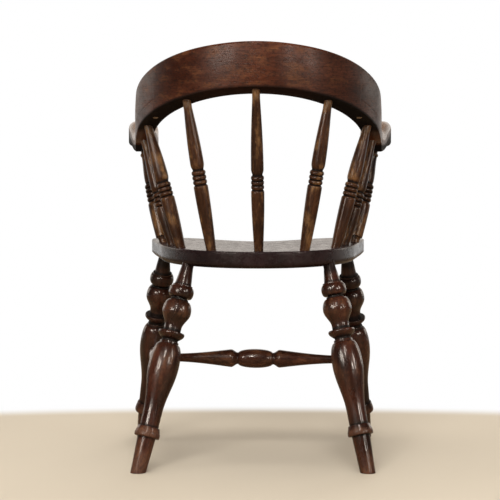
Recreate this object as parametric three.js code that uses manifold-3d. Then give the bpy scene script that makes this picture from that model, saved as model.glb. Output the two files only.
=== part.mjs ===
// Captains chair: a plank seat on four turned legs, and a deep bowed yoke that slopes down into two arms.
// Millimetres. The chair faces -Y, +X is the sitter's left, and Z is height above the floor.

import * as THREE from "three";
import { mergeVertices } from "three/addons/utils/BufferGeometryUtils.js";
import Module from "manifold-3d";

const wasm = await Module();
wasm.setup();

// Fits shared by every joint
const glueGap = 0.3; // clearance round a tenon and between glued faces
const mouthLength = 5; // how far a turning stays straight outside its socket
const cutOverrun = 14; // how far a cutting tool runs past the face it opens

// Seat plank
const seatTop = 442;
const seatThickness = 34;
const seatBackY = 205;
const seatArrisX = 200; // where the round back meets the flared side
const seatArrisY = 12;
const seatArrisTurn = THREE.MathUtils.degToRad(4); // how sharply the outline turns there
const seatFrontX = 236;
const seatFrontY = -222;
const seatFrontBow = 10;
const seatCornerRadius = 38;
const seatBevel = 6; // bevel round the lower edge
const seatEase = 2.5; // softened upper edge
const seatDishDepth = 11;
const seatDishHalfWidth = 172;
const seatDishBackY = 120;
const seatDishFullY = 10; // forward of here the dish is at its full depth
const seatFrontDip = 8; // depth of the dish at the front edge
const seatSocketDepth = 22;
const legSocketDepth = 25;

// Legs, from the seat down to the floor: lengths along the leg, and radii
const leg = {
  tenonRadius: 12.2,
  coneLength: 36,
  coneRadius: 17.2,
  filletLength: 3,
  ringFilletRadius: 20.3,
  ringLength: 23,
  ringRadius: 25.4,
  throatLength: 3,
  throatRadius: 14.3,
  bulbFilletRadius: 18,
  bulbRiseLength: 23,
  bulbFallLength: 33,
  bulbRadius: 29.2,
  waistLength: 10,
  waistRadius: 17.5,
  discLipLength: 3,
  discLipRadius: 26.2,
  discRadius: 27,
  discFallLength: 13,
  neckLength: 4,
  neckRadius: 16.5,
  smallRingLength: 5,
  smallRingRadius: 18.8,
  balusterShoulderRadius: 19.5,
  balusterRiseLength: 45,
  balusterFallLength: 96,
  balusterRadius: 31,
  ankleRadius: 19.4,
  ankleLowRadius: 19,
  collarTopRadius: 22,
  collarRiseLength: 14,
  collarLength: 7,
  collarRadius: 25.7,
  collarEdgeRadius: 24.8,
  footTopRadius: 18.5,
  footRadius: 15.1,
};
// Each leg: its socket in the seat, its foot on the floor, the height of its ankle collar's underside, and
// how much longer its cone is. They were set and turned by eye, so no two are quite alike.
const legPlaces = {
  leg_back_left: { socketX: 143, socketY: 118, footX: 240, footY: 220, collarHeight: 69, coneExtra: 6 },
  leg_back_right: { socketX: -145, socketY: 118, footX: -220, footY: 220, collarHeight: 73, coneExtra: 0 },
  leg_front_left: { socketX: 201, socketY: -120, footX: 253, footY: -240, collarHeight: 60, coneExtra: 0 },
  leg_front_right: { socketX: -191, socketY: -120, footX: -236, footY: -240, collarHeight: 60, coneExtra: 6 },
};

// Stretchers, from the middle out: a long bead, a neck, a swelling, then a taper to the tenon
const stretcherHeights = { left: 205, right: 200 };
const sideStretcher = {
  beadHalfLength: 34,
  beadRadius: 19.6,
  neckRadius: 11.5,
  swellLength: 15,
  swellRadius: 17,
  endRadius: 8.6,
  socketDepth: 20,
};
const crossStretcher = {
  beadHalfLength: 36,
  beadRadius: 19.9,
  neckRadius: 11.8,
  swellLength: 15,
  swellRadius: 18.9,
  endRadius: 8.3,
  socketDepth: 15,
};

// Spindles, from the seat up to the bow
const spindle = {
  footRadius: 8.9,
  bellyRadius: 12.7,
  bellyRound: 5, // length over which the belly rounds in to its rings
  ringCount: 3,
  ringPitch: 9.4,
  ringRadius: 12.5,
  grooveRadius: 9.7,
  neckLength: 2.5,
  shoulderLength: 11,
  shaftRadius: 12.1,
  topLength: 16, // straight part under the bow
  topRadius: 7.5,
};

// Arm posts: the same order, heavier, with a foot cone and a small ring under the arm
const post = {
  footRadius: 9.4,
  footLength: 12,
  footConeRadius: 11.2,
  collarRadius: 14.2,
  bellyRadius: 17.2,
  bellyRound: 8,
  ringCount: 4,
  ringPitch: 9.6,
  ringRadius: 17,
  grooveRadius: 13.6,
  neckLength: 2.5,
  shoulderLength: 9,
  shaftRadius: 14.6,
  topLength: 9,
  topRadius: 10.6,
  topRingRadius: 13.2,
  topRingLength: 6,
  topShaftRadius: 11.4,
};

// Bow in plan: a quarter ellipse each side of the back, then the arm sweeping out to the hand-hold
const bowBackY = 232; // middle of the yoke's thickness at the centre of the back
const bowHalfWidth = 239;
const bowShoulderY = -50; // where the ellipse ends and the arm begins
const armReachY = -226; // where the nose of the hand-hold starts to close
const armNoseLength = 20;
const armBend = 9;
const armFlare = 22;
const bowTurn = THREE.MathUtils.degToRad(-1); // the bow stands slightly askew on its seat, as seen from above

// Bow in height above the seat: its underside falls towards the front in one plane, then steps down to the arms
const yokeRise = 321; // underside at the middle of the back
const bowFallAngle = THREE.MathUtils.degToRad(21.4);
const yokeHeight = 92.2;
const yokeFlankRise = 2.8; // the yoke is a little taller round each side
const yokeThickness = 36;
const yokeTopThickness = 27;
const yokeBarrel = 2; // how far the outer face swells
const yokeEdgeRadius = 8;
const arris = 1.6; // softened lower edges
const yokeSweepStartY = -42; // between these the yoke's end sweeps down onto the arm
const yokeSweepEndY = -104;
const yokeTipHeight = 3;
const armTailThickness = 23;
const armStepLength = 18; // over this the underside steps down from the thin tail to the arm
const armRise = 193; // underside of the arms
const handLift = 8; // how far the underside of the hand-hold is above the arm's
const handRise = 22; // how far the hand-hold's top is above the arm's
const handStartY = -116;
const handFullY = -198;
const armWidenY = 0; // the arm starts to widen here
const handHalfWidth = 30;
const handEdgeRadius = 17; // round the top of the hand-hold
const handUnderRadius = 10; // and round its underside

// Places along one side of the bow: 0 is the middle of the back, 1 the end of the ellipse, 2 the nose
const lapShare = 0.6;
const screwShare = 0.669;

// Uprights: where each stands on the seat, where it meets the bow (minus is the sitter's right), how high the
// middle of its rings is, and its thickness as a share of the sizes above
const uprights = {
  spindle_back_centre: { seatX: -1.5, seatY: 172, bowShare: 0, ringHeight: 138, girthShare: 1.05 },
  spindle_back_left: { seatX: 94, seatY: 161, bowShare: 0.396, ringHeight: 147, girthShare: 1.14 },
  spindle_back_right: { seatX: -94, seatY: 161, bowShare: -0.409, ringHeight: 147, girthShare: 1.16 },
  spindle_corner_left: { seatX: 159, seatY: 74, bowShare: 0.785, ringHeight: 118, girthShare: 1.15 },
  spindle_corner_right: { seatX: -160, seatY: 74, bowShare: -0.783, ringHeight: 118, girthShare: 1.15 },
  spindle_side_left: { seatX: 178, seatY: 5, bowShare: 0.97, ringHeight: 94, girthShare: 1.1 },
  spindle_side_right: { seatX: -180, seatY: 5, bowShare: -0.975, ringHeight: 94, girthShare: 1.1 },
  arm_post_left: { seatX: 201, seatY: -88, bowShare: 1.5, ringHeight: 104, girthShare: 1 },
  arm_post_right: { seatX: -206, seatY: -88, bowShare: -1.5, ringHeight: 104, girthShare: 1 },
};
const yokeSocketDepth = 20;
const tailSocketDepth = 14;

// Screws that hold the arms to the yoke, each under a wooden plug
const screwLength = 44;
const screwRadius = 2.4;
const screwHeadRadius = 4.6;
const screwHeadHeight = 3;
const plugRadius = 6;
const plugThickness = 5;
const plugRecess = 0.8; // how far the plug sits below the surface

// How finely round forms are divided
const legSides = 12;
const postSides = 10;
const spindleSides = 9;
const plugSides = 12;
const screwSides = 8;
const bowSteps = 12;
const cornerSteps = 3;
const dishShares = [0.87, 0.72, 0.54, 0.3];

// Dark polished stain, lighter where the yoke and the uprights have been rubbed
const seatWood = new THREE.MeshStandardMaterial({ color: 0x35262a, roughness: 0.28, metalness: 0 });
const legWood = new THREE.MeshStandardMaterial({ color: 0x42261d, roughness: 0.25, metalness: 0 });
const spindleWood = new THREE.MeshStandardMaterial({ color: 0x4f3423, roughness: 0.38, metalness: 0 });
const bowWood = new THREE.MeshStandardMaterial({ color: 0x523024, roughness: 0.3, metalness: 0 });
const plugWood = new THREE.MeshStandardMaterial({ color: 0x7a5a3c, roughness: 0.5, metalness: 0 });
const screwSteel = new THREE.MeshStandardMaterial({ color: 0x77746d, roughness: 0.45, metalness: 1 });

const seatBottom = seatTop - seatThickness;
const armTop = yokePlane(bowShoulderY) + armTailThickness;
const armLength = bowShoulderY - armReachY + armNoseLength;
const bowPose = new THREE.Matrix4().makeRotationZ(bowTurn);

// A closed geometry as a solid, with doubled points merged and collapsed triangles dropped
function solidOf(geometry) {
  const bare = geometry.clone();
  bare.deleteAttribute("normal");
  bare.deleteAttribute("uv");
  const merged = mergeVertices(bare);
  const corners = Array.from(merged.index.array);
  const kept = [];
  for (let i = 0; i < corners.length; i += 3) {
    const [a, b, c] = corners.slice(i, i + 3);
    if (a !== b && b !== c && c !== a) kept.push(a, b, c);
  }
  const vertProperties = new Float32Array(merged.attributes.position.array);
  return new wasm.Manifold(new wasm.Mesh({ numProp: 3, vertProperties, triVerts: new Uint32Array(kept) }));
}

function geometryOf(solid) {
  const mesh = solid.getMesh();
  const geometry = new THREE.BufferGeometry();
  geometry.setAttribute("position", new THREE.BufferAttribute(new Float32Array(mesh.vertProperties), 3));
  geometry.setIndex(new THREE.BufferAttribute(new Uint32Array(mesh.triVerts), 1));
  geometry.computeVertexNormals();
  return geometry;
}

// Cuts tools out of a piece, wherever both stand in the chair
function cut(piece, tools) {
  piece.updateMatrixWorld();
  let solid = solidOf(piece.geometry);
  for (const tool of tools) {
    tool.updateMatrixWorld();
    const toPiece = piece.matrixWorld.clone().invert().multiply(tool.matrixWorld);
    solid = solid.subtract(solidOf(tool.geometry.clone().applyMatrix4(toPiece)));
  }
  piece.geometry = geometryOf(solid);
}

// A turning in the making: each cut carries the profile on from the last, along the axis
class Turning {
  constructor(place, radius) {
    this.profile = [new THREE.Vector2(0, place), new THREE.Vector2(radius, place)];
  }

  get end() {
    return this.profile.at(-1);
  }

  // Adds steps along a length, where the form gives each its shares of the way along and of the change
  carve(length, radius, steps, form) {
    const start = this.end.clone();
    for (let i = 1; i <= steps; i++) {
      const [along, change] = form(i / steps);
      this.profile.push(new THREE.Vector2(start.x + (radius - start.x) * change, start.y + length * along));
    }
    return this;
  }

  taper(length, radius) {
    return this.carve(length, radius, 1, () => [1, 1]);
  }

  shoulder(radius) {
    return this.taper(0, radius);
  }

  // Leaves and arrives along the axis
  ease(length, radius, steps) {
    return this.carve(length, radius, steps, (u) => [u, (1 - Math.cos(Math.PI * u)) / 2]);
  }

  // Changes fast at first, then levels out
  sweep(length, radius, steps) {
    return this.carve(length, radius, steps, (u) => [u, Math.sin((Math.PI * u) / 2)]);
  }

  // Level at first, then changes faster and faster
  fall(length, radius, steps) {
    return this.carve(length, radius, steps, (u) => [u, 1 - Math.cos((Math.PI * u) / 2)]);
  }

  // Rises like a quarter of a circle, square to the axis at first
  dome(length, radius, steps) {
    const quarter = (u) => [1 - Math.cos((Math.PI * u) / 2), Math.sin((Math.PI * u) / 2)];
    return this.carve(length, radius, steps, quarter);
  }

  // Half a circle out to a crest and back
  bead(length, crest, steps) {
    const half = (u) => [(1 - Math.cos(Math.PI * u)) / 2, Math.sin(Math.PI * u)];
    return this.carve(length, crest, steps, half);
  }

  // The finished form, standing at one point with its axis running towards another
  mesh(sides, from, towards, material, name) {
    const geometry = new THREE.LatheGeometry([...this.profile, new THREE.Vector2(0, this.end.y)], sides);
    const mesh = new THREE.Mesh(geometry, material);
    mesh.name = name ?? "";
    mesh.position.copy(from);
    mesh.quaternion.setFromUnitVectors(new THREE.Vector3(0, 1, 0), towards.clone().sub(from).normalize());
    return mesh;
  }
}

// A drill that clears a round tenon on the same axis, between two distances from the axis's first point
function drill(sides, tenonRadius, start, end, from, towards) {
  const radius = tenonRadius + glueGap;
  return new Turning(start, radius).taper(end - start, radius).mesh(sides, from, towards);
}

// A skin over a row of matching rings, closed at both ends. Rings run anticlockwise about the way they go.
function loft(rings) {
  const count = rings[0].length;
  const last = rings.length - 1;
  const points = rings.flat();
  const faces = [];
  for (let r = 0; r < last; r++) {
    for (let i = 0; i < count; i++) {
      const [a, b] = [r * count + i, r * count + ((i + 1) % count)];
      faces.push(a, b, b + count, a, b + count, a + count);
    }
  }
  for (const ring of [0, last]) {
    const hub = points.length;
    points.push(rings[ring].reduce((sum, p) => sum.addScaledVector(p, 1 / count), new THREE.Vector3()));
    for (let i = 0; i < count; i++) {
      const [a, b] = [ring * count + i, ring * count + ((i + 1) % count)];
      faces.push(...(ring === 0 ? [b, a, hub] : [a, b, hub]));
    }
  }
  const geometry = new THREE.BufferGeometry().setFromPoints(points);
  geometry.setIndex(faces);
  geometry.computeVertexNormals();
  return geometry;
}

// How far a value has gone from one end to the other, eased at both, from 0 to 1
function blend(value, from, to) {
  const share = THREE.MathUtils.clamp((value - from) / (to - from), 0, 1);
  return THREE.MathUtils.smoothstep(share, 0, 1);
}

// Seat

// Height of the seat's top: level at the rim, dished in the middle, and open at the front
function seatTopAt(x, y) {
  const across = Math.max(0, 1 - (x / seatDishHalfWidth) ** 2) ** 2;
  const depth = THREE.MathUtils.lerp(seatDishDepth, seatFrontDip, blend(y, seatDishFullY, seatFrontY));
  return seatTop - depth * across * blend(y, seatDishBackY, seatDishFullY);
}

// The seat's outline seen from above, anticlockwise
function seatOutline() {
  const quarterRound = 0.55; // pulls a cubic into a quarter of an ellipse
  const backMiddle = new THREE.Vector2(0, seatBackY);
  const sideArris = new THREE.Vector2(seatArrisX, seatArrisY);
  const corner = new THREE.Vector2(seatFrontX, seatFrontY);
  const frontMiddle = new THREE.Vector2(0, seatFrontY - seatFrontBow);
  const frontPull = new THREE.Vector2(seatFrontX / 2, frontMiddle.y);
  const backPull = new THREE.Vector2(seatArrisX * quarterRound, seatBackY);
  const flare = sideArris.clone().sub(corner).normalize();
  const arrival = flare.clone().rotateAround(new THREE.Vector2(), seatArrisTurn);
  const sidePull = sideArris.clone().addScaledVector(arrival, (seatBackY - seatArrisY) * quarterRound);
  const cornerStart = corner.clone().addScaledVector(flare, seatCornerRadius);
  const cornerEnd = corner.clone().add(frontPull.clone().sub(corner).setLength(seatCornerRadius));
  const half = [
    backMiddle,
    ...new THREE.CubicBezierCurve(backMiddle, backPull, sidePull, sideArris).getPoints(12).slice(1),
    ...new THREE.LineCurve(sideArris, cornerStart).getPoints(4).slice(1),
    ...new THREE.QuadraticBezierCurve(cornerStart, corner, cornerEnd).getPoints(4).slice(1),
    ...new THREE.QuadraticBezierCurve(cornerEnd, frontPull, frontMiddle).getPoints(5).slice(1),
  ];
  const mirrored = half.slice(1, -1).map((p) => new THREE.Vector2(-p.x, p.y));
  return [...mirrored, ...half.reverse()];
}

function makeSeat() {
  const outline = seatOutline();
  const inset = (distance, heightAt) =>
    outline.map((p, i) => {
      const along = outline[(i + 1) % outline.length].clone().sub(outline.at(i - 1)).normalize();
      const [x, y] = [p.x - along.y * distance, p.y + along.x * distance];
      return new THREE.Vector3(x, y, heightAt(x, y));
    });
  const shrunk = (share) =>
    outline.map((p) => new THREE.Vector3(p.x * share, p.y * share, seatTopAt(p.x * share, p.y * share)));
  const rings = [
    inset(seatBevel, () => seatBottom),
    inset(0, () => seatBottom + seatBevel),
    inset(0, (x, y) => seatTopAt(x, y) - seatEase),
    inset(seatEase, seatTopAt),
    ...dishShares.map(shrunk),
  ];
  const mesh = new THREE.Mesh(loft(rings), seatWood);
  mesh.name = "seat";
  return mesh;
}

// Legs

function legAxis(name) {
  const { socketX, socketY, footX, footY } = legPlaces[name];
  return { socket: new THREE.Vector3(socketX, socketY, seatBottom), foot: new THREE.Vector3(footX, footY, 0) };
}

function makeLeg(name) {
  const { socket, foot } = legAxis(name);
  const { collarHeight, coneExtra } = legPlaces[name];
  const length = socket.distanceTo(foot);
  const footLength = (collarHeight * length) / seatBottom;
  const turning = new Turning(-(legSocketDepth - glueGap), leg.tenonRadius)
    .taper(legSocketDepth - glueGap + mouthLength, leg.tenonRadius)
    .taper(leg.coneLength + coneExtra - mouthLength, leg.coneRadius)
    .shoulder(leg.ringFilletRadius)
    .taper(leg.filletLength, leg.ringFilletRadius)
    .bead(leg.ringLength, leg.ringRadius, 4)
    .shoulder(leg.throatRadius)
    .taper(leg.throatLength, leg.throatRadius)
    .shoulder(leg.bulbFilletRadius)
    .taper(leg.filletLength, leg.bulbFilletRadius)
    .dome(leg.bulbRiseLength, leg.bulbRadius, 3)
    .ease(leg.bulbFallLength, leg.waistRadius, 3)
    .taper(leg.waistLength, leg.waistRadius)
    .shoulder(leg.discLipRadius)
    .taper(leg.discLipLength, leg.discRadius)
    .fall(leg.discFallLength, leg.neckRadius, 2)
    .taper(leg.neckLength, leg.neckRadius)
    .shoulder(leg.smallRingRadius)
    .taper(leg.smallRingLength, leg.balusterShoulderRadius)
    .dome(leg.balusterRiseLength, leg.balusterRadius, 3)
    .ease(leg.balusterFallLength, leg.ankleRadius, 4);
  const ankleEnd = length - footLength - leg.collarLength - leg.collarRiseLength;
  const mesh = turning
    .taper(ankleEnd - turning.end.y, leg.ankleLowRadius)
    .shoulder(leg.collarTopRadius)
    .sweep(leg.collarRiseLength, leg.collarRadius, 2)
    .taper(leg.collarLength, leg.collarEdgeRadius)
    .shoulder(leg.footTopRadius)
    .taper(footLength, leg.footRadius)
    .taper(cutOverrun, leg.footRadius)
    .mesh(legSides, socket, foot, legWood, name);
  mesh.updateMatrixWorld();
  const uncut = solidOf(mesh.geometry.clone().applyMatrix4(mesh.matrixWorld));
  const standing = uncut.trimByPlane([0, 0, 1], 0);
  mesh.geometry = geometryOf(standing).applyMatrix4(mesh.matrixWorld.clone().invert());
  return mesh;
}

// Where a leg's axis passes the height of a stretcher
function legAtHeight({ socket, foot }, height) {
  return socket.clone().lerp(foot, (seatBottom - height) / seatBottom);
}

// A stretcher's middle, and the distance from there to the surface of what it is let into
function stretcherSpan(from, to, socketRadius) {
  const middle = from.clone().lerp(to, 1 / 2);
  return { middle, mouth: middle.distanceTo(to) - socketRadius };
}

// A stretcher between two axes, alike on both sides of its middle
function makeStretcher(name, sizes, from, to, socketRadius) {
  const { middle, mouth } = stretcherSpan(from, to, socketRadius);
  const tenonLength = sizes.socketDepth - glueGap;
  const taperLength = mouth - mouthLength - sizes.beadHalfLength - sizes.swellLength;
  return new Turning(-(mouth + tenonLength), sizes.endRadius)
    .taper(tenonLength + mouthLength, sizes.endRadius)
    .fall(taperLength, sizes.swellRadius, 4)
    .ease(sizes.swellLength, sizes.neckRadius, 2)
    .bead(sizes.beadHalfLength * 2, sizes.beadRadius, 6)
    .ease(sizes.swellLength, sizes.swellRadius, 2)
    .sweep(taperLength, sizes.endRadius, 4)
    .taper(tenonLength + mouthLength, sizes.endRadius)
    .mesh(spindleSides, middle, to, legWood, name);
}

// The drills for a stretcher's two sockets, the one it starts from first
function stretcherDrills(sizes, from, to, socketRadius) {
  const { middle, mouth } = stretcherSpan(from, to, socketRadius);
  const [open, bottom] = [mouth - cutOverrun, mouth + sizes.socketDepth];
  return [
    drill(spindleSides, sizes.endRadius, -bottom, -open, middle, to),
    drill(spindleSides, sizes.endRadius, open, bottom, middle, to),
  ];
}

// Bow

// The plane of the yoke's underside, falling towards the front
function yokePlane(y) {
  return seatTop + yokeRise - (bowBackY - y) * Math.tan(bowFallAngle);
}

function bowUnderside(y) {
  const arm = seatTop + armRise + handLift * blend(y, handStartY, handFullY);
  const plane = yokePlane(Math.max(y, bowShoulderY));
  return THREE.MathUtils.lerp(plane, arm, blend(y, bowShoulderY, bowShoulderY - armStepLength));
}

// Top of the arm, which is also where the yoke is glued on
function armTopAt(y) {
  return Math.max(yokePlane(y) + armTailThickness, armTop + handRise * blend(y, handStartY, handFullY));
}

// Top of the yoke: nearly parallel to its underside, then swept down onto the arm
function yokeTopAt(y) {
  const back = THREE.MathUtils.clamp((y - bowShoulderY) / (bowBackY - bowShoulderY), 0, 1);
  const level = yokePlane(y) + yokeHeight + yokeFlankRise * 4 * back * (1 - back);
  const tip = armTopAt(y) + glueGap + yokeTipHeight;
  return THREE.MathUtils.lerp(level, tip, blend(y, yokeSweepStartY, yokeSweepEndY));
}

// Share of the way along one side of the bow where the arm passes a place in Y
function armShareAt(y) {
  return 1 + (bowShoulderY - y) / armLength;
}

// A place on the middle line of the bow, with its outward direction. A negative share is on the right.
function bowPlace(share) {
  const side = share < 0 ? -1 : 1;
  const along = Math.abs(share);
  let place;
  let out;
  if (along <= 1) {
    const turn = (along * Math.PI) / 2;
    const depth = bowBackY - bowShoulderY;
    place = new THREE.Vector2(bowHalfWidth * Math.sin(turn), bowShoulderY + depth * Math.cos(turn));
    out = new THREE.Vector2(Math.sin(turn) * depth, Math.cos(turn) * bowHalfWidth).normalize();
  } else {
    const pull = (third, x) => new THREE.Vector2(bowHalfWidth + x, bowShoulderY - (armLength * third) / 3);
    const sweep = new THREE.CubicBezierCurve(pull(0, 0), pull(1, 0), pull(2, armBend), pull(3, armFlare));
    place = sweep.getPoint(along - 1);
    out = sweep.getTangent(along - 1).rotateAround(new THREE.Vector2(), Math.PI / 2);
  }
  return { x: place.x * side, y: place.y, outX: out.x * side, outY: out.y };
}

// Shares from one place to another, with every whole step between them
function bowShares(from, to) {
  const shares = [from];
  for (let step = Math.floor(from * bowSteps) + 1; step < to * bowSteps; step++) shares.push(step / bowSteps);
  return [...shares, to];
}

// One ring across the bow. Each mark is a distance outwards, a height that depends on Y, and a rise.
function ringAcross(place, marks) {
  return marks.map(([out, heightAt, rise]) => {
    const [x, y] = [place.x + place.outX * out, place.y + place.outY * out];
    return new THREE.Vector3(x, y, heightAt(y) + rise);
  });
}

// Marks round a rounded corner. Quarters: 0 top outer, 1 top inner, 2 bottom inner, 3 bottom outer.
function roundedCorner(quarter, out, heightAt, radius, steps) {
  const middle = ((quarter + 1 / 2) * Math.PI) / 2;
  const centreOut = out - Math.sign(Math.cos(middle)) * radius;
  const centreRise = -Math.sign(Math.sin(middle)) * radius;
  return Array.from({ length: steps + 1 }, (_, i) => {
    const turn = ((quarter + i / steps) * Math.PI) / 2;
    return [centreOut + radius * Math.cos(turn), heightAt, centreRise + radius * Math.sin(turn)];
  });
}

function yokeRing(share) {
  const place = bowPlace(share);
  const low = (y) => yokePlane(Math.max(y, bowShoulderY));
  const half = yokeThickness / 2;
  const fullness = THREE.MathUtils.clamp((yokeTopAt(place.y) - low(place.y)) / yokeHeight, 0, 1);
  const topInner = half - (yokeThickness - yokeTopThickness) * fullness;
  const edge = THREE.MathUtils.lerp(arris, yokeEdgeRadius, fullness);
  const barrel = [1 / 4, 1 / 2, 3 / 4].map((up) => {
    const swell = yokeBarrel * fullness * Math.sin(Math.PI * up);
    return [half + swell, (y) => THREE.MathUtils.lerp(low(y), yokeTopAt(y), up), 0];
  });
  return ringAcross(place, [
    ...roundedCorner(2, -half, low, arris, 1),
    ...roundedCorner(3, half, low, arris, 1),
    ...barrel,
    ...roundedCorner(0, half, yokeTopAt, edge, cornerSteps),
    ...roundedCorner(1, -topInner, yokeTopAt, edge, cornerSteps),
  ]);
}

function makeYoke() {
  const end = armShareAt(yokeSweepEndY);
  const half = bowShares(0, end).slice(1);
  const shares = [...half.map((share) => -share).reverse(), 0, ...half];
  const mesh = new THREE.Mesh(loft(shares.map(yokeRing)), bowWood);
  mesh.name = "back_yoke";
  mesh.applyMatrix4(bowPose);
  return mesh;
}

// Turns rings that run from the back to the nose the right way round for the right-hand side
function ringsFor(side, shares, ring) {
  const rings = shares.map((share) => ring(share * side));
  return side > 0 ? rings : rings.reverse();
}

// What the yoke loses where it is lapped over an arm's tail: everything up to the arm's top and the glue
function lapCutter(side) {
  const quarterLength = (Math.PI / 4) * (bowHalfWidth + bowBackY - bowShoulderY);
  const half = yokeThickness / 2 + cutOverrun;
  const ring = (share) =>
    ringAcross(bowPlace(share), [
      [-half, yokePlane, -cutOverrun],
      [half, yokePlane, -cutOverrun],
      [half, armTopAt, glueGap],
      [-half, armTopAt, glueGap],
    ]);
  const start = lapShare - glueGap / quarterLength;
  const end = armShareAt(yokeSweepEndY - cutOverrun);
  const mesh = new THREE.Mesh(loft(ringsFor(side, bowShares(start, end), ring)));
  mesh.applyMatrix4(bowPose);
  return mesh;
}

function armHalfWidthAt(y) {
  return THREE.MathUtils.lerp(yokeThickness / 2, handHalfWidth, blend(y, armWidenY, handFullY));
}

function armRing(share) {
  const place = bowPlace(share);
  const past = Math.max(0, (armReachY - place.y) / armNoseLength);
  const size = Math.sqrt(1 - past ** 2); // the nose closes like a quarter of an ellipse
  const half = armHalfWidthAt(place.y) * size;
  const middle = (y) => (bowUnderside(y) + armTopAt(y)) / 2;
  const low = (y) => THREE.MathUtils.lerp(middle(y), bowUnderside(y), size);
  const high = (y) => THREE.MathUtils.lerp(middle(y), armTopAt(y), size);
  const hold = blend(place.y, bowShoulderY, handFullY);
  const edge = THREE.MathUtils.lerp(arris, handEdgeRadius, hold) * size;
  const under = THREE.MathUtils.lerp(arris, handUnderRadius, hold) * size;
  return ringAcross(place, [
    ...roundedCorner(2, -half, low, under, cornerSteps),
    ...roundedCorner(3, half, low, under, cornerSteps),
    ...roundedCorner(0, half, high, edge, cornerSteps),
    ...roundedCorner(1, -half, high, edge, cornerSteps),
  ]);
}

function makeArm(name, side) {
  const noseStart = armShareAt(armReachY);
  const noseShares = [1 / 4, 1 / 2, 3 / 4, 15 / 16].map((turn) => {
    return armShareAt(armReachY - armNoseLength * Math.sin((turn * Math.PI) / 2));
  });
  const shares = [...bowShares(lapShare, noseStart), ...noseShares];
  const mesh = new THREE.Mesh(loft(ringsFor(side, shares, armRing)), bowWood);
  mesh.name = name;
  mesh.applyMatrix4(bowPose);
  return mesh;
}

// Uprights

// An upright's sizes, and the two ends of its axis: on the seat's top and on the bow's underside
function uprightFit(name) {
  const { seatX, seatY, bowShare, ringHeight, girthShare } = uprights[name];
  const sizes = { ...(name.startsWith("arm_post") ? post : spindle) };
  for (const key of Object.keys(sizes)) if (key.endsWith("Radius")) sizes[key] *= girthShare;
  const place = bowPlace(bowShare);
  const foot = new THREE.Vector3(seatX, seatY, seatTop);
  const head = new THREE.Vector3(place.x, place.y, bowUnderside(place.y)).applyMatrix4(bowPose);
  const length = foot.distanceTo(head);
  const ringsMiddle = (ringHeight * length) / (head.z - foot.z);
  return { sizes, foot, head, length, ringsStart: ringsMiddle - (sizes.ringCount * sizes.ringPitch) / 2 };
}

// The rings and the shoulder above them, which spindles and posts share
function addRings(turning, sizes) {
  turning.shoulder(sizes.grooveRadius);
  for (let i = 0; i < sizes.ringCount; i++) turning.bead(sizes.ringPitch, sizes.ringRadius, 3);
  return turning.taper(sizes.neckLength, sizes.grooveRadius).sweep(sizes.shoulderLength, sizes.shaftRadius, 2);
}

function makeSpindle(name, socketDepth) {
  const { sizes, foot, head, length, ringsStart } = uprightFit(name);
  const turning = new Turning(-(seatSocketDepth - glueGap), sizes.footRadius)
    .taper(seatSocketDepth - glueGap + mouthLength, sizes.footRadius)
    .sweep(ringsStart - sizes.bellyRound - mouthLength, sizes.bellyRadius, 4)
    .fall(sizes.bellyRound, sizes.grooveRadius, 2);
  addRings(turning, sizes);
  return turning
    .fall(length - sizes.topLength - turning.end.y, sizes.topRadius, 4)
    .taper(sizes.topLength + socketDepth - glueGap, sizes.topRadius)
    .mesh(spindleSides, foot, head, spindleWood, name);
}

function makePost(name) {
  const { sizes, foot, head, length, ringsStart } = uprightFit(name);
  const turning = new Turning(-(seatSocketDepth - glueGap), sizes.footRadius)
    .taper(seatSocketDepth - glueGap + mouthLength, sizes.footRadius)
    .taper(sizes.footLength - mouthLength, sizes.footConeRadius)
    .shoulder(sizes.collarRadius)
    .sweep(ringsStart - sizes.bellyRound - sizes.footLength, sizes.bellyRadius, 4)
    .fall(sizes.bellyRound, sizes.grooveRadius, 2);
  addRings(turning, sizes);
  return turning
    .ease(length - sizes.topLength - sizes.topRingLength - turning.end.y, sizes.topShaftRadius, 4)
    .bead(sizes.topRingLength, sizes.topRingRadius, 4)
    .shoulder(sizes.topRadius)
    .taper(sizes.topLength + yokeSocketDepth - glueGap, sizes.topRadius)
    .mesh(postSides, foot, head, spindleWood, name);
}

function seatDrill(name, sides) {
  const { sizes, foot, head } = uprightFit(name);
  return drill(sides, sizes.footRadius, -seatSocketDepth, cutOverrun, foot, head);
}

function bowDrill(name, sides, depth) {
  const { sizes, foot, head, length } = uprightFit(name);
  return drill(sides, sizes.topRadius, length - cutOverrun, length + depth, foot, head);
}

// Screws

// The screw's axis, from the underside of the bow up and square to it
function screwAxis(side) {
  const place = bowPlace(screwShare * side);
  const from = new THREE.Vector3(place.x, place.y, yokePlane(place.y));
  const up = new THREE.Vector3(0, -Math.sin(bowFallAngle), Math.cos(bowFallAngle)).setLength(screwLength);
  return { from: from.clone().applyMatrix4(bowPose), towards: from.add(up).applyMatrix4(bowPose) };
}

const screwHeadStart = plugRecess + plugThickness + glueGap;
const screwHeadEnd = screwHeadStart + screwHeadHeight;

function makeScrew(name, side) {
  const { from, towards } = screwAxis(side);
  const rim = screwHeadHeight / 3;
  const tip = screwRadius * 2;
  return new Turning(screwHeadStart, screwHeadRadius)
    .taper(rim, screwHeadRadius)
    .taper(screwHeadHeight - rim, screwRadius)
    .taper(screwLength - screwHeadHeight - tip, screwRadius)
    .taper(tip, screwRadius / 4)
    .mesh(screwSides, from, towards, screwSteel, name);
}

function makePlug(name, side) {
  const { from, towards } = screwAxis(side);
  return new Turning(plugRecess, plugRadius)
    .taper(plugThickness, plugRadius)
    .mesh(plugSides, from, towards, plugWood, name);
}

function screwDrills(side) {
  const { from, towards } = screwAxis(side);
  return {
    plug: drill(plugSides, plugRadius, -cutOverrun, screwHeadEnd + glueGap, from, towards),
    shank: drill(screwSides, screwRadius, -cutOverrun, screwHeadStart + screwLength + glueGap, from, towards),
  };
}

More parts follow.
